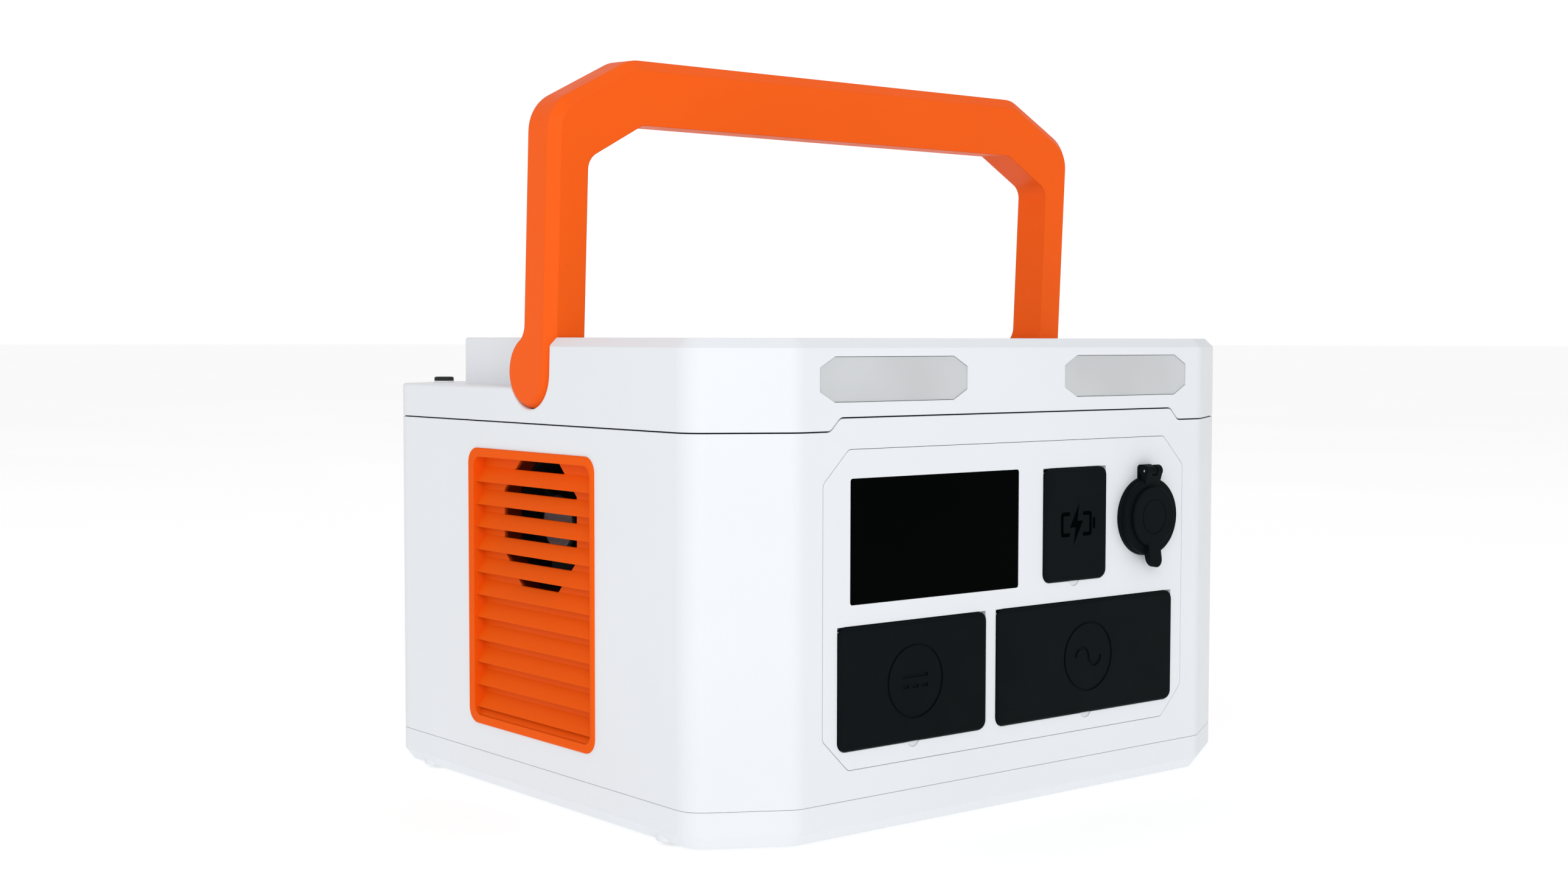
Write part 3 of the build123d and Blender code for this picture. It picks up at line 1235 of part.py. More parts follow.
for side_name, side in SIDES.items():
    with BuildPart() as louvres:
        # Blades that slope up to the back plate, and a sloped sill.
        with BuildSketch(Plane.XZ.offset(-OPENING_Y - OPENING_WIDTH / 2 - 0.5)):
            for row in range(LOUVRE_COUNT + 1):
                if row < LOUVRE_COUNT:
                    z = LOUVRE_TOP_Z - row * LOUVRE_PITCH
                    outline = [(0.3, z), (4.8, z + 7.1), (4.8, z + 5.1), (1.2, z)]
                else:
                    foot = SILL_Z - 0.2
                    top = SILL_Z + 3.6
                    outline = [(0.3, foot), (0.3, SILL_Z), (3.3, top), (4.8, top), (4.8, foot)]
                with BuildLine():
                    Polyline(*[(side * (WIDTH / 2 - depth), height) for depth, height in outline], close=True)
                make_face()
        extrude(amount=OPENING_WIDTH + 1.0)
        with BuildSketch(side_plane(side)):
            with Locations((side * VENT_Y, VENT_Z)):
                RectangleRounded(NECK_WIDTH, NECK_HEIGHT, VENT_RADIUS - VENT_NECK)
        extrude(amount=-10.0, mode=Mode.INTERSECT)
    with BuildPart() as grille:
        with BuildSketch(side_plane(side, -VENT_PROUD)):
            with Locations((side * VENT_Y, VENT_Z)):
                RectangleRounded(VENT_WIDTH, VENT_HEIGHT, VENT_RADIUS)
        extrude(amount=-VENT_PROUD)
        fillet(grille.faces().sort_by(Axis.X)[-1 if side > 0 else 0].edges(), 0.8)
        with BuildSketch(side_plane(side)):
            with Locations((side * VENT_Y, VENT_Z)):
                RectangleRounded(NECK_WIDTH, NECK_HEIGHT, VENT_RADIUS - VENT_NECK)
        extrude(amount=-(VENT_BACKPLATE + 2.0))
        with BuildSketch(side_plane(side, -VENT_PROUD)):
            with Locations((side * OPENING_Y, VENT_Z)):
                RectangleRounded(OPENING_WIDTH, OPENING_HEIGHT, OPENING_RADIUS)
        extrude(amount=-(VENT_PROUD + VENT_BACKPLATE), mode=Mode.SUBTRACT)
        add(louvres.part)
        # Duct back to the fan, with a square flange that the fan is screwed to.
        with BuildSketch(fan_plane(side, VENT_BACKPLATE)):
            add(duct_outline(-DUCT_WALL))
        extrude(amount=-(FAN_FRONT - VENT_BACKPLATE))
        with BuildSketch(fan_plane(side, FAN_FRONT - 3.0)):
            RectangleRounded(FAN_SIZE + 4.0, FAN_SIZE + 4.0, 4.0)
        extrude(amount=-3.0)
        with BuildSketch(fan_plane(side, LOUVRE_CUT_DEPTH)):
            add(duct_outline())
        extrude(amount=-FAN_FRONT, mode=Mode.SUBTRACT)
        with BuildSketch(fan_plane(side, FAN_FRONT - 3.0)):
            with GridLocations(50.0, 50.0, 2, 2):
                Circle(1.5)
        extrude(amount=-4.0, mode=Mode.SUBTRACT)
    grille.part.label = f"vent_grille_{side_name}"
    export_step(grille.part, f"parts/vent_grille_{side_name}.step")

    with BuildPart() as fan_frame:
        with BuildSketch(fan_plane(side, FAN_FRONT)):
            RectangleRounded(FAN_SIZE, FAN_SIZE, 4.0)
            Circle(28.6, mode=Mode.SUBTRACT)
            with GridLocations(50.0, 50.0, 2, 2):
                Circle(1.7, mode=Mode.SUBTRACT)
        extrude(amount=-FAN_THICKNESS)
        # Motor seat on four struts at the inner side, with the bearing.
        with BuildSketch(fan_plane(side, FAN_FRONT + FAN_THICKNESS - 3.0)):
            Circle(13.5)
            for turn in (45, 135):
                Rectangle(59.0, 4.0, rotation=turn)
        extrude(amount=-3.0)
        with BuildSketch(fan_plane(side, FAN_FRONT + 9.0)):
            Circle(4.0)
        extrude(amount=-(FAN_THICKNESS - 12.0))
        with BuildSketch(fan_plane(side, FAN_FRONT)):
            Circle(SHAFT_RADIUS + RUNNING_CLEARANCE)
        extrude(amount=-FAN_THICKNESS, mode=Mode.SUBTRACT)
    fan_frame.part.label = f"fan_frame_{side_name}"
    export_step(fan_frame.part, f"parts/fan_frame_{side_name}.step")

    with BuildPart() as rotor:
        with BuildSketch(fan_plane(side, FAN_FRONT + 0.6)):
            Circle(13.0)
        extrude(amount=-19.0)
        fillet(rotor.faces().sort_by(Axis.X)[-1 if side > 0 else 0].edges(), 1.0)
        with BuildSketch(fan_plane(side, FAN_FRONT + 2.6)):
            Circle(11.4)
        extrude(amount=-18.0, mode=Mode.SUBTRACT)
        for blade in range(7):
            turned = Location((0, 0, 0), (0, 0, blade * 360 / 7))
            tilted = Location((19.8, 0, -9.4), (55, 0, 0))
            with Locations(fan_plane(side, FAN_FRONT).location * turned * tilted):
                Box(15.2, 1.3, 16.0)
        with BuildSketch(fan_plane(side, FAN_FRONT)):
            Circle(60.0)
            Circle(27.6, mode=Mode.SUBTRACT)
        extrude(amount=-FAN_THICKNESS, mode=Mode.SUBTRACT)
        with BuildSketch(fan_plane(side, FAN_FRONT + 2.6)):
            Circle(SHAFT_RADIUS)
        extrude(amount=-(FAN_THICKNESS - 3.2))
    rotor.part.label = f"fan_rotor_{side_name}"
    export_step(rotor.part, f"parts/fan_rotor_{side_name}.step")

with BuildPart() as fan_screws:
    for side in SIDES.values():
        with BuildSketch(fan_plane(side, FAN_FRONT - 2.8)):
            with GridLocations(50.0, 50.0, 2, 2):
                Circle(1.48)
        extrude(amount=-(FAN_THICKNESS + 2.8))
        with BuildSketch(fan_plane(side, FAN_FRONT + FAN_THICKNESS)):
            with GridLocations(50.0, 50.0, 2, 2):
                Circle(2.8)
        extrude(amount=-2.0)
fan_screws.part.label = "fan_screws"
export_step(fan_screws.part, "parts/fan_screws.step")

# ---------------------------------------------------------------- battery and electronics

FLOOR_Z = FOOT_HEIGHT + WALL
CELL = (27.0, 70.0, 104.0)
CELL_COLUMNS = 8
PACK_Y = 45.0
PACK_HALF_X = 112.0
PACK_HALF_Y = 73.0
CELL_Z = FLOOR_Z + 3.0
CELL_TOP = CELL_Z + CELL[2]
BRACKET_Z = CELL_TOP + 3.0
INVERTER_Z = BRACKET_Z + 2.0 + 8.0


def cell_grid():
    """Places of the cells in the pack, in plan."""
    return GridLocations(CELL[0] + 0.6, CELL[1] + 1.5, CELL_COLUMNS, 2)


with BuildPart() as cell_pad:
    with BuildSketch(level(FLOOR_Z)):
        with Locations((0, PACK_Y)):
            Rectangle(2 * PACK_HALF_X - 1.0, 2 * PACK_HALF_Y - 1.0)
    extrude(amount=CELL_Z - FLOOR_Z)
cell_pad.part.label = "cell_pad"
export_step(cell_pad.part, "parts/cell_pad.step")

with BuildPart() as battery_cells:
    with BuildSketch(level(CELL_Z)):
        with Locations((0, PACK_Y)):
            with cell_grid():
                Rectangle(CELL[0], CELL[1])
    extrude(amount=CELL[2])
battery_cells.part.label = "battery_cells"
export_step(battery_cells.part, "parts/battery_cells.step")

with BuildPart() as cell_busbars:
    with BuildSketch(level(CELL_TOP)):
        with Locations((0, PACK_Y)):
            with GridLocations(2 * (CELL[0] + 0.6), CELL[1] + 1.5, CELL_COLUMNS // 2, 2):
                RectangleRounded(44.0, 16.0, 3.0)
    extrude(amount=1.5)
cell_busbars.part.label = "cell_busbars"
export_step(cell_busbars.part, "parts/cell_busbars.step")

with BuildPart() as battery_bracket:
    with BuildSketch(level(BRACKET_Z)):
        with Locations((0, PACK_Y)):
            Rectangle(2 * PACK_HALF_X + 4.0, 2 * PACK_HALF_Y + 4.0)
            with GridLocations(52.0, 60.0, 4, 2):
                RectangleRounded(36.0, 40.0, 6.0, mode=Mode.SUBTRACT)
    extrude(amount=2.0)
    # Folded legs round the pack, down to the floor.
    with BuildSketch(level(FLOOR_Z)):
        with Locations((0, PACK_Y)):
            Rectangle(2 * PACK_HALF_X + 4.0, 2 * PACK_HALF_Y + 4.0)
            Rectangle(2 * PACK_HALF_X, 2 * PACK_HALF_Y, mode=Mode.SUBTRACT)
            Rectangle(2 * PACK_HALF_X - 40.0, 300.0, mode=Mode.SUBTRACT)
            Rectangle(300.0, 2 * PACK_HALF_Y - 40.0, mode=Mode.SUBTRACT)
    extrude(amount=BRACKET_Z - FLOOR_Z)
battery_bracket.part.label = "battery_bracket"
export_step(battery_bracket.part, "parts/battery_bracket.step")

BMS_Y = PACK_Y - PACK_HALF_Y - 2.0 - 5.0
BMS_POSTS = [(-104.0, 24.0), (104.0, 24.0), (-104.0, 104.0), (104.0, 104.0)]

with BuildPart() as bms_board:
    with BuildSketch(Plane.XZ.offset(-BMS_Y)):
        with Locations((0, 64.0)):
            Rectangle(218.0, 90.0)
    extrude(amount=1.6)
    with BuildSketch(Plane.XZ.offset(-BMS_Y + 1.6)):
        with Locations((0, 50.0)):
            with GridLocations(22.0, 24.0, 7, 2):
                Rectangle(12.0, 10.0)
    extrude(amount=2.4)
bms_board.part.label = "bms_board"
export_step(bms_board.part, "parts/bms_board.step")

with BuildPart() as board_standoffs:
    with BuildSketch(Plane.XZ.offset(-BMS_Y)):
        with Locations(*BMS_POSTS):
            Circle(3.0)
    extrude(amount=-5.0)
    with BuildSketch(level(BRACKET_Z + 2.0)):
        with Locations((0, PACK_Y)):
            with GridLocations(208.0, 138.0, 2, 2):
                Circle(3.0)
    extrude(amount=8.0)
board_standoffs.part.label = "board_standoffs"
export_step(board_standoffs.part, "parts/board_standoffs.step")

with BuildPart() as inverter_board:
    with BuildSketch(level(INVERTER_Z)):
        with Locations((0, PACK_Y)):
            Rectangle(218.0, 148.0)
    extrude(amount=1.6)
inverter_board.part.label = "inverter_board"
export_step(inverter_board.part, "parts/inverter_board.step")

BOARD_TOP = INVERTER_Z + 1.6

with BuildPart() as heat_sinks:
    for y in (8.0, 50.0):
        with BuildSketch(Plane.YZ.offset(-80.0)):
            with Locations((y, BOARD_TOP)):
                Rectangle(34.0, 5.0, align=(Align.CENTER, Align.MIN))
                with GridLocations(6.4, 1.0, 6, 1):
                    Rectangle(1.6, 28.0, align=(Align.CENTER, Align.MIN))
        extrude(amount=160.0)
heat_sinks.part.label = "heat_sinks"
export_step(heat_sinks.part, "parts/heat_sinks.step")

with BuildPart() as transformer:
    with BuildSketch(level(BOARD_TOP)):
        with Locations((-58.0, 94.0)):
            Rectangle(46.0, 34.0)
    extrude(amount=30.0)
    with BuildSketch(level(BOARD_TOP + 5.0)):
        with Locations((-58.0, 94.0)):
            RectangleRounded(52.0, 24.0, 8.0)
    extrude(amount=20.0)
transformer.part.label = "transformer"
export_step(transformer.part, "parts/transformer.step")

with BuildPart() as capacitors:
    with BuildSketch(level(BOARD_TOP)):
        with Locations((40.0, 94.0)):
            with GridLocations(26.0, 1.0, 4, 1):
                Circle(10.0)
    extrude(amount=28.0)
    chamfer(capacitors.edges().group_by(Axis.Z)[-1], 1.0)
capacitors.part.label = "capacitors"
export_step(capacitors.part, "parts/capacitors.step")

CABLE_RADIUS = 3.2
CABLE_STARTS = (-70.0, -50.0)
CABLE_FRONT_Y = BMS_Y - 1.6

with BuildPart() as power_cables:
    for x in CABLE_STARTS:
        with BuildLine() as route:
            FilletPolyline(
                (x, CABLE_FRONT_Y, 96.0),
                (x, CABLE_FRONT_Y - 18.0, 96.0),
                (x, CABLE_FRONT_Y - 18.0, 150.0),
                (x, -21.0, 150.0),
                (x, -21.0, BOARD_TOP),
                radius=8.0,
            )
        with BuildSketch(Plane.XZ.offset(-CABLE_FRONT_Y)):
            with Locations((x, 96.0)):
                Circle(CABLE_RADIUS)
        sweep(path=route.wires()[0])
power_cables.part.label = "power_cables"
export_step(power_cables.part, "parts/power_cables.step")
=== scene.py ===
import json
import math

import bmesh
import bpy
from mathutils import Matrix, Vector


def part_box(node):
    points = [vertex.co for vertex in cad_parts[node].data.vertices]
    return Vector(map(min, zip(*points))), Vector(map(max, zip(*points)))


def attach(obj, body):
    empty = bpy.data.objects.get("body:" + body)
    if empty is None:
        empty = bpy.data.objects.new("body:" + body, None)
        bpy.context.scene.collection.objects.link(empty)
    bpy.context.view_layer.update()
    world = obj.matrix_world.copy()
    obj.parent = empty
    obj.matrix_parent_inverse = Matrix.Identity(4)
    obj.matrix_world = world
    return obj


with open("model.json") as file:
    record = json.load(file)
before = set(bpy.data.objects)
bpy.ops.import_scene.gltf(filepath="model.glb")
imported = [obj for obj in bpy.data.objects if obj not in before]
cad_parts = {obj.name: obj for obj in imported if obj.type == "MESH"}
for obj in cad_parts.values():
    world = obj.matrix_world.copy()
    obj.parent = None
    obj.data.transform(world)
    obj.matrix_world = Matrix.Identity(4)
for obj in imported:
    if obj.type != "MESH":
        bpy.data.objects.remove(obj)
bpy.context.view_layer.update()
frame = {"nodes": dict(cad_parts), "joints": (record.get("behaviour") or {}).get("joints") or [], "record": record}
nodes = frame["nodes"]

MM = 0.001
# The Mix node's colour sockets have the same names as its others, so they go by number.
MIX_COLOUR_A, MIX_COLOUR_B, MIX_COLOUR_RESULT = 6, 7, 2

# ---------------------------------------------------------------- materials


def new_material(name):
    """An empty node material with its shader: (material, node tree, shader)."""
    material = bpy.data.materials.new(name)
    material.use_nodes = True
    tree = material.node_tree
    return material, tree, tree.nodes["Principled BSDF"]


def link(tree, source, output, target, socket):
    tree.links.new(source.outputs[output], target.inputs[socket])


def object_place(tree):
    """The node whose Object output is the point's place in the object's own frame, in metres."""
    return tree.nodes.new("ShaderNodeTexCoord")


def noise(tree, place, scale, detail=2.0, roughness=0.5, stretch=None):
    node = tree.nodes.new("ShaderNodeTexNoise")
    node.inputs["Scale"].default_value = scale
    node.inputs["Detail"].default_value = detail
    node.inputs["Roughness"].default_value = roughness
    if stretch is None:
        link(tree, place, "Object", node, "Vector")
    else:
        mapping = tree.nodes.new("ShaderNodeMapping")
        mapping.inputs["Scale"].default_value = stretch
        link(tree, place, "Object", mapping, "Vector")
        link(tree, mapping, "Vector", node, "Vector")
    return node


def ramp(tree, source, output, low, high, start=0.35, end=0.65):
    """Colours from low to high as the source's value goes from start to end."""
    node = tree.nodes.new("ShaderNodeValToRGB")
    node.color_ramp.elements[0].position = start
    node.color_ramp.elements[1].position = end
    node.color_ramp.elements[0].color = (*low, 1.0)
    node.color_ramp.elements[1].color = (*high, 1.0)
    link(tree, source, output, node, "Fac")
    return node


def set_range(node, from_low, from_high, to_low, to_high):
    node.inputs["From Min"].default_value = from_low
    node.inputs["From Max"].default_value = from_high
    node.inputs["To Min"].default_value = to_low
    node.inputs["To Max"].default_value = to_high


def add_colour(tree, shader, source, output, low, high, start=0.35, end=0.65):
    """The surface's colour goes from low to high with the source's value."""
    tint = ramp(tree, source, output, low, high, start, end)
    link(tree, tint, "Color", shader, "Base Color")


def add_roughness(tree, shader, source, low, high):
    """The surface's roughness goes from low to high over the middle of the noise's range."""
    shine = tree.nodes.new("ShaderNodeMapRange")
    set_range(shine, 0.3, 0.7, low, high)
    link(tree, source, "Fac", shine, "Value")
    link(tree, shine, "Result", shader, "Roughness")


def add_bump(tree, shader, height, output, strength, distance):
    bump = tree.nodes.new("ShaderNodeBump")
    bump.inputs["Strength"].default_value = strength
    bump.inputs["Distance"].default_value = distance
    link(tree, height, output, bump, "Height")
    link(tree, bump, "Normal", shader, "Normal")
    return bump


def scaled(colour, factor):
    return tuple(min(1.0, c * factor) for c in colour)


def moulded(name, colour, rough, grain=2200.0, depth=0.00003, vary=0.03, specular=0.5, edge=0.0):
    """Moulded plastic or rubber: a fine spark-eroded grain, uneven sheen, faint colour drift.

    grain is the scale of the grain and depth its height in metres, vary the share by which the
    colour drifts, and edge the radius in metres by which sharp edges are softened.
    """
    material, tree, shader = new_material(name)
    place = object_place(tree)
    drift = noise(tree, place, scale=9.0, detail=3.0)
    add_colour(tree, shader, drift, "Fac", scaled(colour, 1.0 - vary), scaled(colour, 1.0 + vary))
    sheen = noise(tree, place, scale=60.0, detail=4.0)
    add_roughness(tree, shader, sheen, rough - 0.05, rough + 0.05)
    texture = noise(tree, place, scale=grain, detail=2.0, roughness=0.6)
    bump = add_bump(tree, shader, texture, "Fac", strength=0.5, distance=depth)
    if edge:
        softened = tree.nodes.new("ShaderNodeBevel")
        softened.samples = 6
        softened.inputs["Radius"].default_value = edge
        link(tree, softened, "Normal", bump, "Normal")
    shader.inputs["Specular IOR Level"].default_value = specular
    return material


def paint_duct_shade(material, face):
    """Paints shade into a grille's colour deep behind its face: painted shade for the duct wall, which lies in
    shadow.

    face is how far the grille's face is from the middle plane x = 0, in metres.
    """
    # Painted shade: the duct wall's shaded colour, and the depths over which it fades out.
    duct_shade_colour = (0.13, 0.012, 0.001, 1.0)
    full_shade_depth, no_shade_depth = face - 6.5 * MM, face - 4.5 * MM
    tree = material.node_tree
    shader = tree.nodes["Principled BSDF"]
    tint = shader.inputs["Base Color"].links[0].from_node
    split = tree.nodes.new("ShaderNodeSeparateXYZ")
    link(tree, object_place(tree), "Object", split, "Vector")
    reach = tree.nodes.new("ShaderNodeMath")
    reach.operation = "ABSOLUTE"
    link(tree, split, "X", reach, 0)
    unshaded = tree.nodes.new("ShaderNodeMapRange")
    set_range(unshaded, full_shade_depth, no_shade_depth, 0.0, 1.0)
    link(tree, reach, "Value", unshaded, "Value")
    blend = tree.nodes.new("ShaderNodeMix")
    blend.data_type = "RGBA"
    blend.inputs[MIX_COLOUR_A].default_value = duct_shade_colour
    link(tree, unshaded, "Result", blend, "Factor")
    link(tree, tint, "Color", blend, MIX_COLOUR_B)
    link(tree, blend, MIX_COLOUR_RESULT, shader, "Base Color")
    return material


def metal(name, colour, rough, stretch=(1.0, 1.0, 1.0)):
    """Metal with uneven polish and fine scratches, drawn out where stretch is least."""
    material, tree, shader = new_material(name)
    place = object_place(tree)
    shader.inputs["Metallic"].default_value = 1.0
    drift = noise(tree, place, scale=40.0, detail=4.0)
    add_colour(tree, shader, drift, "Fac", scaled(colour, 0.92), scaled(colour, 1.05))
    scratches = noise(tree, place, scale=900.0, detail=3.0, roughness=0.6, stretch=stretch)
    add_roughness(tree, shader, scratches, rough - 0.08, rough + 0.1)
    add_bump(tree, shader, scratches, "Fac", strength=0.4, distance=0.00002)
    return material


def frosted(name, colour):
    """Frosted light cover: a soft moulded face over a pale diffuser."""
    scatter = 4 * MM
    material, tree, shader = new_material(name)
    place = object_place(tree)
    clouds = noise(tree, place, scale=22.0, detail=1.0)
    add_colour(tree, shader, clouds, "Fac", scaled(colour, 0.96), scaled(colour, 1.05))
    shader.inputs["Roughness"].default_value = 0.38
    shader.inputs["Subsurface Weight"].default_value = 0.3
    shader.inputs["Subsurface Radius"].default_value = (scatter, scatter, scatter)
    texture = noise(tree, place, scale=1500.0, detail=1.0)
    add_bump(tree, shader, texture, "Fac", strength=0.35, distance=0.00003)
    return material


def gloss_black(name, colour):
    """Display window: a hard glossy face whose colour and gloss vary very slightly."""
    material, tree, shader = new_material(name)
    place = object_place(tree)
    depth = noise(tree, place, scale=14.0, detail=1.0)
    add_colour(tree, shader, depth, "Fac", scaled(colour, 0.8), scaled(colour, 1.25))
    add_roughness(tree, shader, depth, 0.05, 0.09)
    shader.inputs["Specular IOR Level"].default_value = 0.01
    return material


def circuit(name):
    """Circuit board: dark solder mask with a network of traces."""
    mask, trace = (0.012, 0.07, 0.035), (0.03, 0.15, 0.07)
    material, tree, shader = new_material(name)
    place = object_place(tree)
    traces = tree.nodes.new("ShaderNodeTexVoronoi")
    traces.distance = "MANHATTAN"
    traces.inputs["Scale"].default_value = 260.0
    link(tree, place, "Object", traces, "Vector")
    add_colour(tree, shader, traces, "Distance", mask, trace, start=0.3, end=0.45)
    shader.inputs["Roughness"].default_value = 0.35
    add_bump(tree, shader, traces, "Distance", strength=0.3, distance=0.0001)
    return material


def sticker_foil():
    """Thin label stock, blank, with a faint paper fibre; its dark grey is partly the label's own colour, partly
    painted shade for the hub deep in the duct.
    """
    material, tree, shader = new_material("sticker_foil")
    place = object_place(tree)
    fibre = noise(tree, place, scale=700.0, detail=4.0, roughness=0.6)
    # Dark grey label colours: partly the label's own grey, partly painted shade.
    add_colour(tree, shader, fibre, "Fac", (0.11, 0.085, 0.09), (0.14, 0.11, 0.115))
    add_roughness(tree, shader, fibre, 0.32, 0.42)
    add_bump(tree, shader, fibre, "Fac", strength=0.3, distance=0.00002)
    return material


WHITE = (0.765, 0.79, 0.822)
ORANGE = (0.885, 0.112, 0.007)
# A darker copy of the orange plastic for the vent grilles: painted shade for their side faces.
VENT_ORANGE_SHADED = (0.84, 0.104, 0.004)
BLACK_PLASTIC = (0.006, 0.0062, 0.0066)
COVER_BLACK = (0.0018, 0.0038, 0.0048)
SOCKET_BLACK = (0.002, 0.0042, 0.0052)
# Painted shade for the engraved signs on the charging cover.
SIGN_SHADE_BLACK = (0.0009, 0.0016, 0.0019)
RUBBER_BLACK = (0.012, 0.012, 0.012)
GASKET_BLACK = (0.008, 0.008, 0.016)

# The finish of each of the record's material slots.
finishes = {
    "white_shell": moulded("white_shell", WHITE, 0.46, vary=0.01, edge=0.0005),
    "white_panel": moulded("white_panel", WHITE, 0.42, vary=0.01, edge=0.0003),
    "orange_plastic": moulded("orange_plastic", ORANGE, 0.42, vary=0.02, specular=0.07, edge=0.0008),
    "black_plastic": moulded("black_plastic", BLACK_PLASTIC, 0.5, vary=0.1, specular=0.16),
    "button_plastic": moulded("button_plastic", (0.5, 0.51, 0.52), 0.4),
    "cover_rubber": moulded(
        "cover_rubber", COVER_BLACK, 0.62, grain=3000.0, depth=0.00004, vary=0.1, specular=0.06
    ),
    "black_rubber": moulded("black_rubber", RUBBER_BLACK, 0.75, grain=1600.0, depth=0.00005, vary=0.1),
    "foam_rubber": moulded("foam_rubber", (0.05, 0.05, 0.05), 0.9, grain=700.0, depth=0.0003, vary=0.1),
    "cable_rubber": moulded("cable_rubber", (0.42, 0.02, 0.015), 0.5),
    "dark_gasket": moulded(
        "dark_gasket", GASKET_BLACK, 0.7, grain=1500.0, depth=0.00004, vary=0.1, specular=0.1
    ),
    "steel": metal("steel", (0.56, 0.56, 0.57), 0.3, stretch=(1.0, 12.0, 12.0)),
    "steel_sheet": metal("steel_sheet", (0.6, 0.61, 0.62), 0.4, stretch=(1.0, 6.0, 1.0)),
    "bright_metal": metal("bright_metal", (0.75, 0.76, 0.78), 0.28, stretch=(1.0, 10.0, 10.0)),
    "brass": metal("brass", (0.72, 0.53, 0.22), 0.3),
    "copper": metal("copper", (0.75, 0.38, 0.2), 0.35, stretch=(10.0, 1.0, 10.0)),
    "nylon": moulded("nylon", (0.74, 0.73, 0.68), 0.45),
    "display_glass": gloss_black("display_glass", (0.0003, 0.0008, 0.0006)),
    "display_dark": gloss_black("display_dark", (0.006, 0.008, 0.01)),
    "frosted_lens": frosted("frosted_lens", (0.56, 0.575, 0.59)),
    "circuit_board": circuit("circuit_board"),
    "cell_case": metal("cell_case", (0.06, 0.16, 0.38), 0.35),
    "ferrite": moulded("ferrite", (0.06, 0.06, 0.065), 0.7, grain=900.0, depth=0.0001),
    "capacitor_sleeve": moulded(
        "capacitor_sleeve", (0.02, 0.03, 0.1), 0.25, grain=1200.0, depth=0.00001
    ),
}

# Nodes whose finish differs a little from the rest of their slot.
case_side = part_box("housing")[1].x
# The vent grilles' finish: a darker copy of the orange as painted shade, with more painted shade deep in the duct.
vent_finish_painted_shade = paint_duct_shade(
    moulded("vent_orange_shaded", VENT_ORANGE_SHADED, 0.46, vary=0.02, specular=0.03, edge=0.0004), case_side
)
special = {
    "vent_grille_left": vent_finish_painted_shade,
    "vent_grille_right": vent_finish_painted_shade,
    "car_socket": moulded("socket_plastic", SOCKET_BLACK, 0.6, vary=0.1, specular=0.05),
}
for entry in frame["record"]["subparts"]:
    node = nodes[entry["node"]]
    node.data.materials.clear()
    node.data.materials.append(special.get(entry["node"], finishes[entry["material_slot"]]))

# ---------------------------------------------------------------- added pieces


def add_object(name, form, material):
    """An object with the shape of a bmesh, which is freed."""
    mesh = bpy.data.meshes.new(name)
    form.to_mesh(mesh)
    form.free()
    mesh.materials.append(material)
    thing = bpy.data.objects.new(name, mesh)
    bpy.context.scene.collection.objects.link(thing)
    return thing


STICKER_RADIUS = 11.5 * MM
STICKER_RISE = 0.18 * MM
STICKER_STEPS = 64
# From the middle to the rim: the share of the radius, and the share of the rise there.
STICKER_PROFILE = [(0.55, 1.0), (0.93, 0.95), (0.985, 0.6), (1.0, 0.0)]


def hub_sticker(rotor, side, spin, material):
    """A round sticker with a turned-down rim, on the hub face that looks out of the vent."""
    low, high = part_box("fan_" + rotor)
    face = high.x if side > 0 else low.x
    form = bmesh.new()
    centre = form.verts.new((face + side * STICKER_RISE, spin[1], spin[2]))
    rings = []
    for reach, rise in STICKER_PROFILE:
        ring = []
        for i in range(STICKER_STEPS):
            angle = math.tau * i / STICKER_STEPS
            y = spin[1] + STICKER_RADIUS * reach * math.cos(angle)
            z = spin[2] + STICKER_RADIUS * reach * math.sin(angle)
            ring.append(form.verts.new((face + side * STICKER_RISE * rise, y, z)))
        rings.append(ring)
    for i in range(STICKER_STEPS):
        j = (i + 1) % STICKER_STEPS
        form.faces.new((centre, rings[0][i], rings[0][j]))
        for inner, outer in zip(rings, rings[1:]):
            form.faces.new((inner[i], outer[i], outer[j], inner[j]))
    bmesh.ops.recalc_face_normals(form, faces=form.faces)
    piece = add_object("hub_sticker_" + rotor, form, material)
    piece.data.shade_smooth()
    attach(piece, "fan_" + rotor)


spins = {joint["child"]: joint["pos_m"] for joint in frame["joints"] if joint.get("continuous")}
foil = sticker_foil()
for side, rotor in ((-1, "rotor_left"), (1, "rotor_right")):
    hub_sticker(rotor, side, spins["fan_" + rotor], foil)

SIGN_SINK = 0.3 * MM
# Outlines in millimetres from the middle of the sign, across and up.
SIGN_BOLT = [(1.8, 9.6), (-4.2, -1.4), (-0.6, -1.4), (-1.8, -9.6), (4.2, 1.4), (0.6, 1.4)]
SIGN_BRACKET = [
    (4.3, 5.4), (9.9, 5.4), (9.9, -5.4), (4.3, -5.4), (4.3, -3.9), (8.2, -3.9), (8.2, 3.9), (4.3, 3.9)
]
SIGN_TERMINAL = [(10.6, -2.4), (12.2, -2.4), (12.2, 2.4), (10.6, 2.4)]


def sign_shade_sheet(hinge, material):
    """A dark sheet of painted shade that lies in the engraved battery and bolt of the charging cover, where the
    engraving's shadow falls.
    """
    low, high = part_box("charge_cover")
    x, y, z = hinge[0], low.y + SIGN_SINK, (low.z + high.z) / 2
    mirrored = [(-across, up) for across, up in SIGN_BRACKET]
    form = bmesh.new()
    for outline in (SIGN_BOLT, SIGN_BRACKET, mirrored, SIGN_TERMINAL):
        form.faces.new([form.verts.new((x + across * MM, y, z + up * MM)) for across, up in outline])
    bmesh.ops.triangulate(form, faces=form.faces)
    for face in form.faces:
        if face.normal.y > 0:
            face.normal_flip()
    piece = add_object("charge_sign", form, material)
    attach(piece, "charge_cover")


hinges = {joint["child"]: joint["pos_m"] for joint in frame["joints"] if joint["type"] == "hinge"}
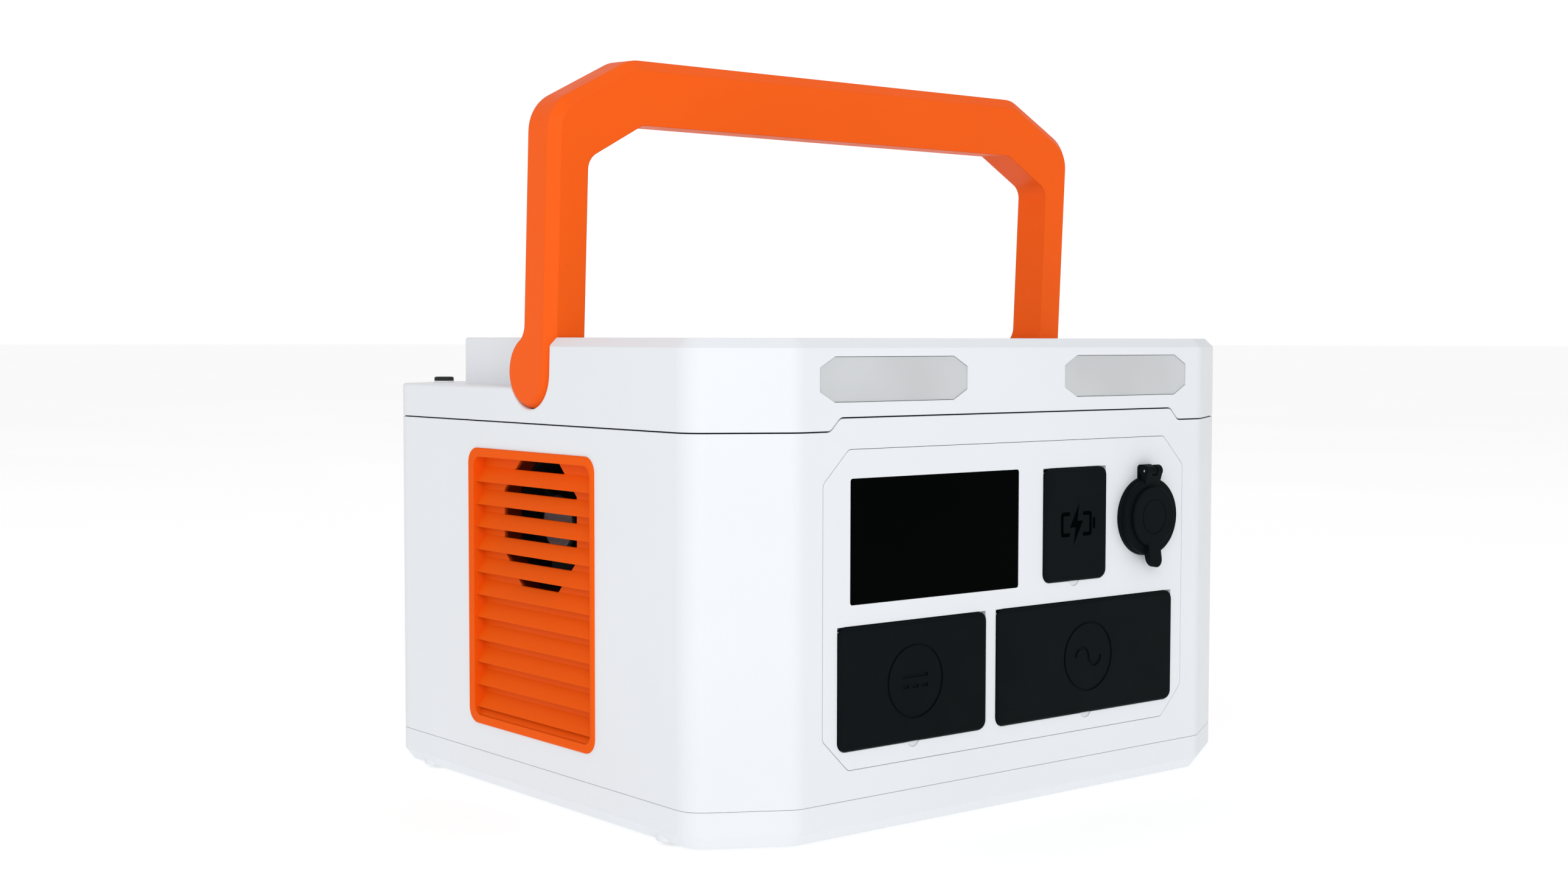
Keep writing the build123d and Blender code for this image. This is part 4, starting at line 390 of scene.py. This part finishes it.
# Painted shade: a dark sheet in the engraved signs of the charging cover.
sign_shade_sheet(
    hinges["charge_cover"],
    moulded("sign_painted_shade", SIGN_SHADE_BLACK, 0.62, grain=3000.0, depth=0.00004, vary=0.0, specular=0.0),
)

# ---------------------------------------------------------------- floor, light and camera

FLOOR_HALF_SIZE = 60.0
FLOOR_GLOW = 0.57


def floor_paper():
    """Pale paper that glows a little, so that the floor runs into the white backdrop."""
    material, tree, shader = new_material("floor_paper")
    drift = noise(tree, object_place(tree), scale=1.5, detail=2.0)
    add_colour(tree, shader, drift, "Fac", (0.54, 0.54, 0.54), (0.56, 0.56, 0.56))
    shader.inputs["Roughness"].default_value = 0.9
    shader.inputs["Specular IOR Level"].default_value = 0.1
    shader.inputs["Emission Color"].default_value = (1.0, 1.0, 1.0, 1.0)
    shader.inputs["Emission Strength"].default_value = FLOOR_GLOW
    return material


grid = bmesh.new()
bmesh.ops.create_grid(grid, x_segments=4, y_segments=4, size=FLOOR_HALF_SIZE)
floor = add_object("floor", grid, floor_paper())

# The room is brightest behind the object, in the direction that the camera looks and a little
# below it, and darker all round. The fade is over the cosine of the angle from that direction.
BRIGHT_DIRECTION = (0.6, 0.739, -0.3)
FADE_START, FADE_END = 0.6, 0.85
ROOM_DARK, ROOM_BRIGHT = 0.64, 1.05

world = bpy.data.worlds.new("studio")
bpy.context.scene.world = world
world.use_nodes = True
sky = world.node_tree
backdrop = sky.nodes["Background"]
backdrop.inputs["Color"].default_value = (1.0, 1.0, 1.0, 1.0)
direction = sky.nodes.new("ShaderNodeTexCoord")
towards = sky.nodes.new("ShaderNodeVectorMath")
towards.operation = "DOT_PRODUCT"
towards.inputs[1].default_value = BRIGHT_DIRECTION
link(sky, direction, "Generated", towards, 0)
fade = sky.nodes.new("ShaderNodeMapRange")
fade.interpolation_type = "SMOOTHSTEP"
set_range(fade, FADE_START, FADE_END, ROOM_DARK, ROOM_BRIGHT)
link(sky, towards, "Value", fade, "Value")
# Seen directly, the backdrop is white all round.
seen = sky.nodes.new("ShaderNodeLightPath")
strength = sky.nodes.new("ShaderNodeMath")
strength.operation = "MAXIMUM"
link(sky, fade, "Result", strength, 0)
link(sky, seen, "Is Camera Ray", strength, 1)
link(sky, strength, "Value", backdrop, "Strength")


def area_light(name, position, aim, size, power):
    data = bpy.data.lights.new(name, "AREA")
    data.shape = "RECTANGLE"
    data.size, data.size_y = size
    data.energy = power
    lamp = bpy.data.objects.new(name, data)
    lamp.location = position
    lamp.rotation_euler = (Vector(aim) - Vector(position)).to_track_quat("-Z", "Y").to_euler()
    bpy.context.scene.collection.objects.link(lamp)


area_light("key", position=(-1.35, -1.62, 0.85), aim=(0.0, 0.0, 0.12), size=(1.6, 1.2), power=16.4)
area_light("top", position=(0.0, 0.3, 2.6), aim=(0.0, 0.0, 0.0), size=(3.0, 3.0), power=9.0)

# The camera that the edges of the case in the photograph were solved to.
CAMERA_PLACE = (-0.6275, -0.7523, 0.2045)
CAMERA_LENS_MM = 46.41
CAMERA_SENSOR_MM = 36.0
CAMERA_HEADING, CAMERA_PITCH, CAMERA_ROLL = -39.07, -2.90, -0.10
CAMERA_LEVEL = 90.0  # turns a new camera, which looks down, to look along +Y

camera_data = bpy.data.cameras.new("camera")
camera_data.lens = CAMERA_LENS_MM
camera_data.sensor_width = CAMERA_SENSOR_MM
camera_data.clip_start = 0.01
camera = bpy.data.objects.new("camera", camera_data)
camera.location = CAMERA_PLACE
turn = (
    Matrix.Rotation(math.radians(CAMERA_HEADING), 4, "Z")
    @ Matrix.Rotation(math.radians(CAMERA_PITCH), 4, "X")
    @ Matrix.Rotation(math.radians(CAMERA_ROLL), 4, "Y")
    @ Matrix.Rotation(math.radians(CAMERA_LEVEL), 4, "X")
)
camera.rotation_euler = turn.to_euler()
bpy.context.scene.collection.objects.link(camera)
bpy.context.scene.camera = camera
bpy.context.scene.view_settings.view_transform = "Standard"
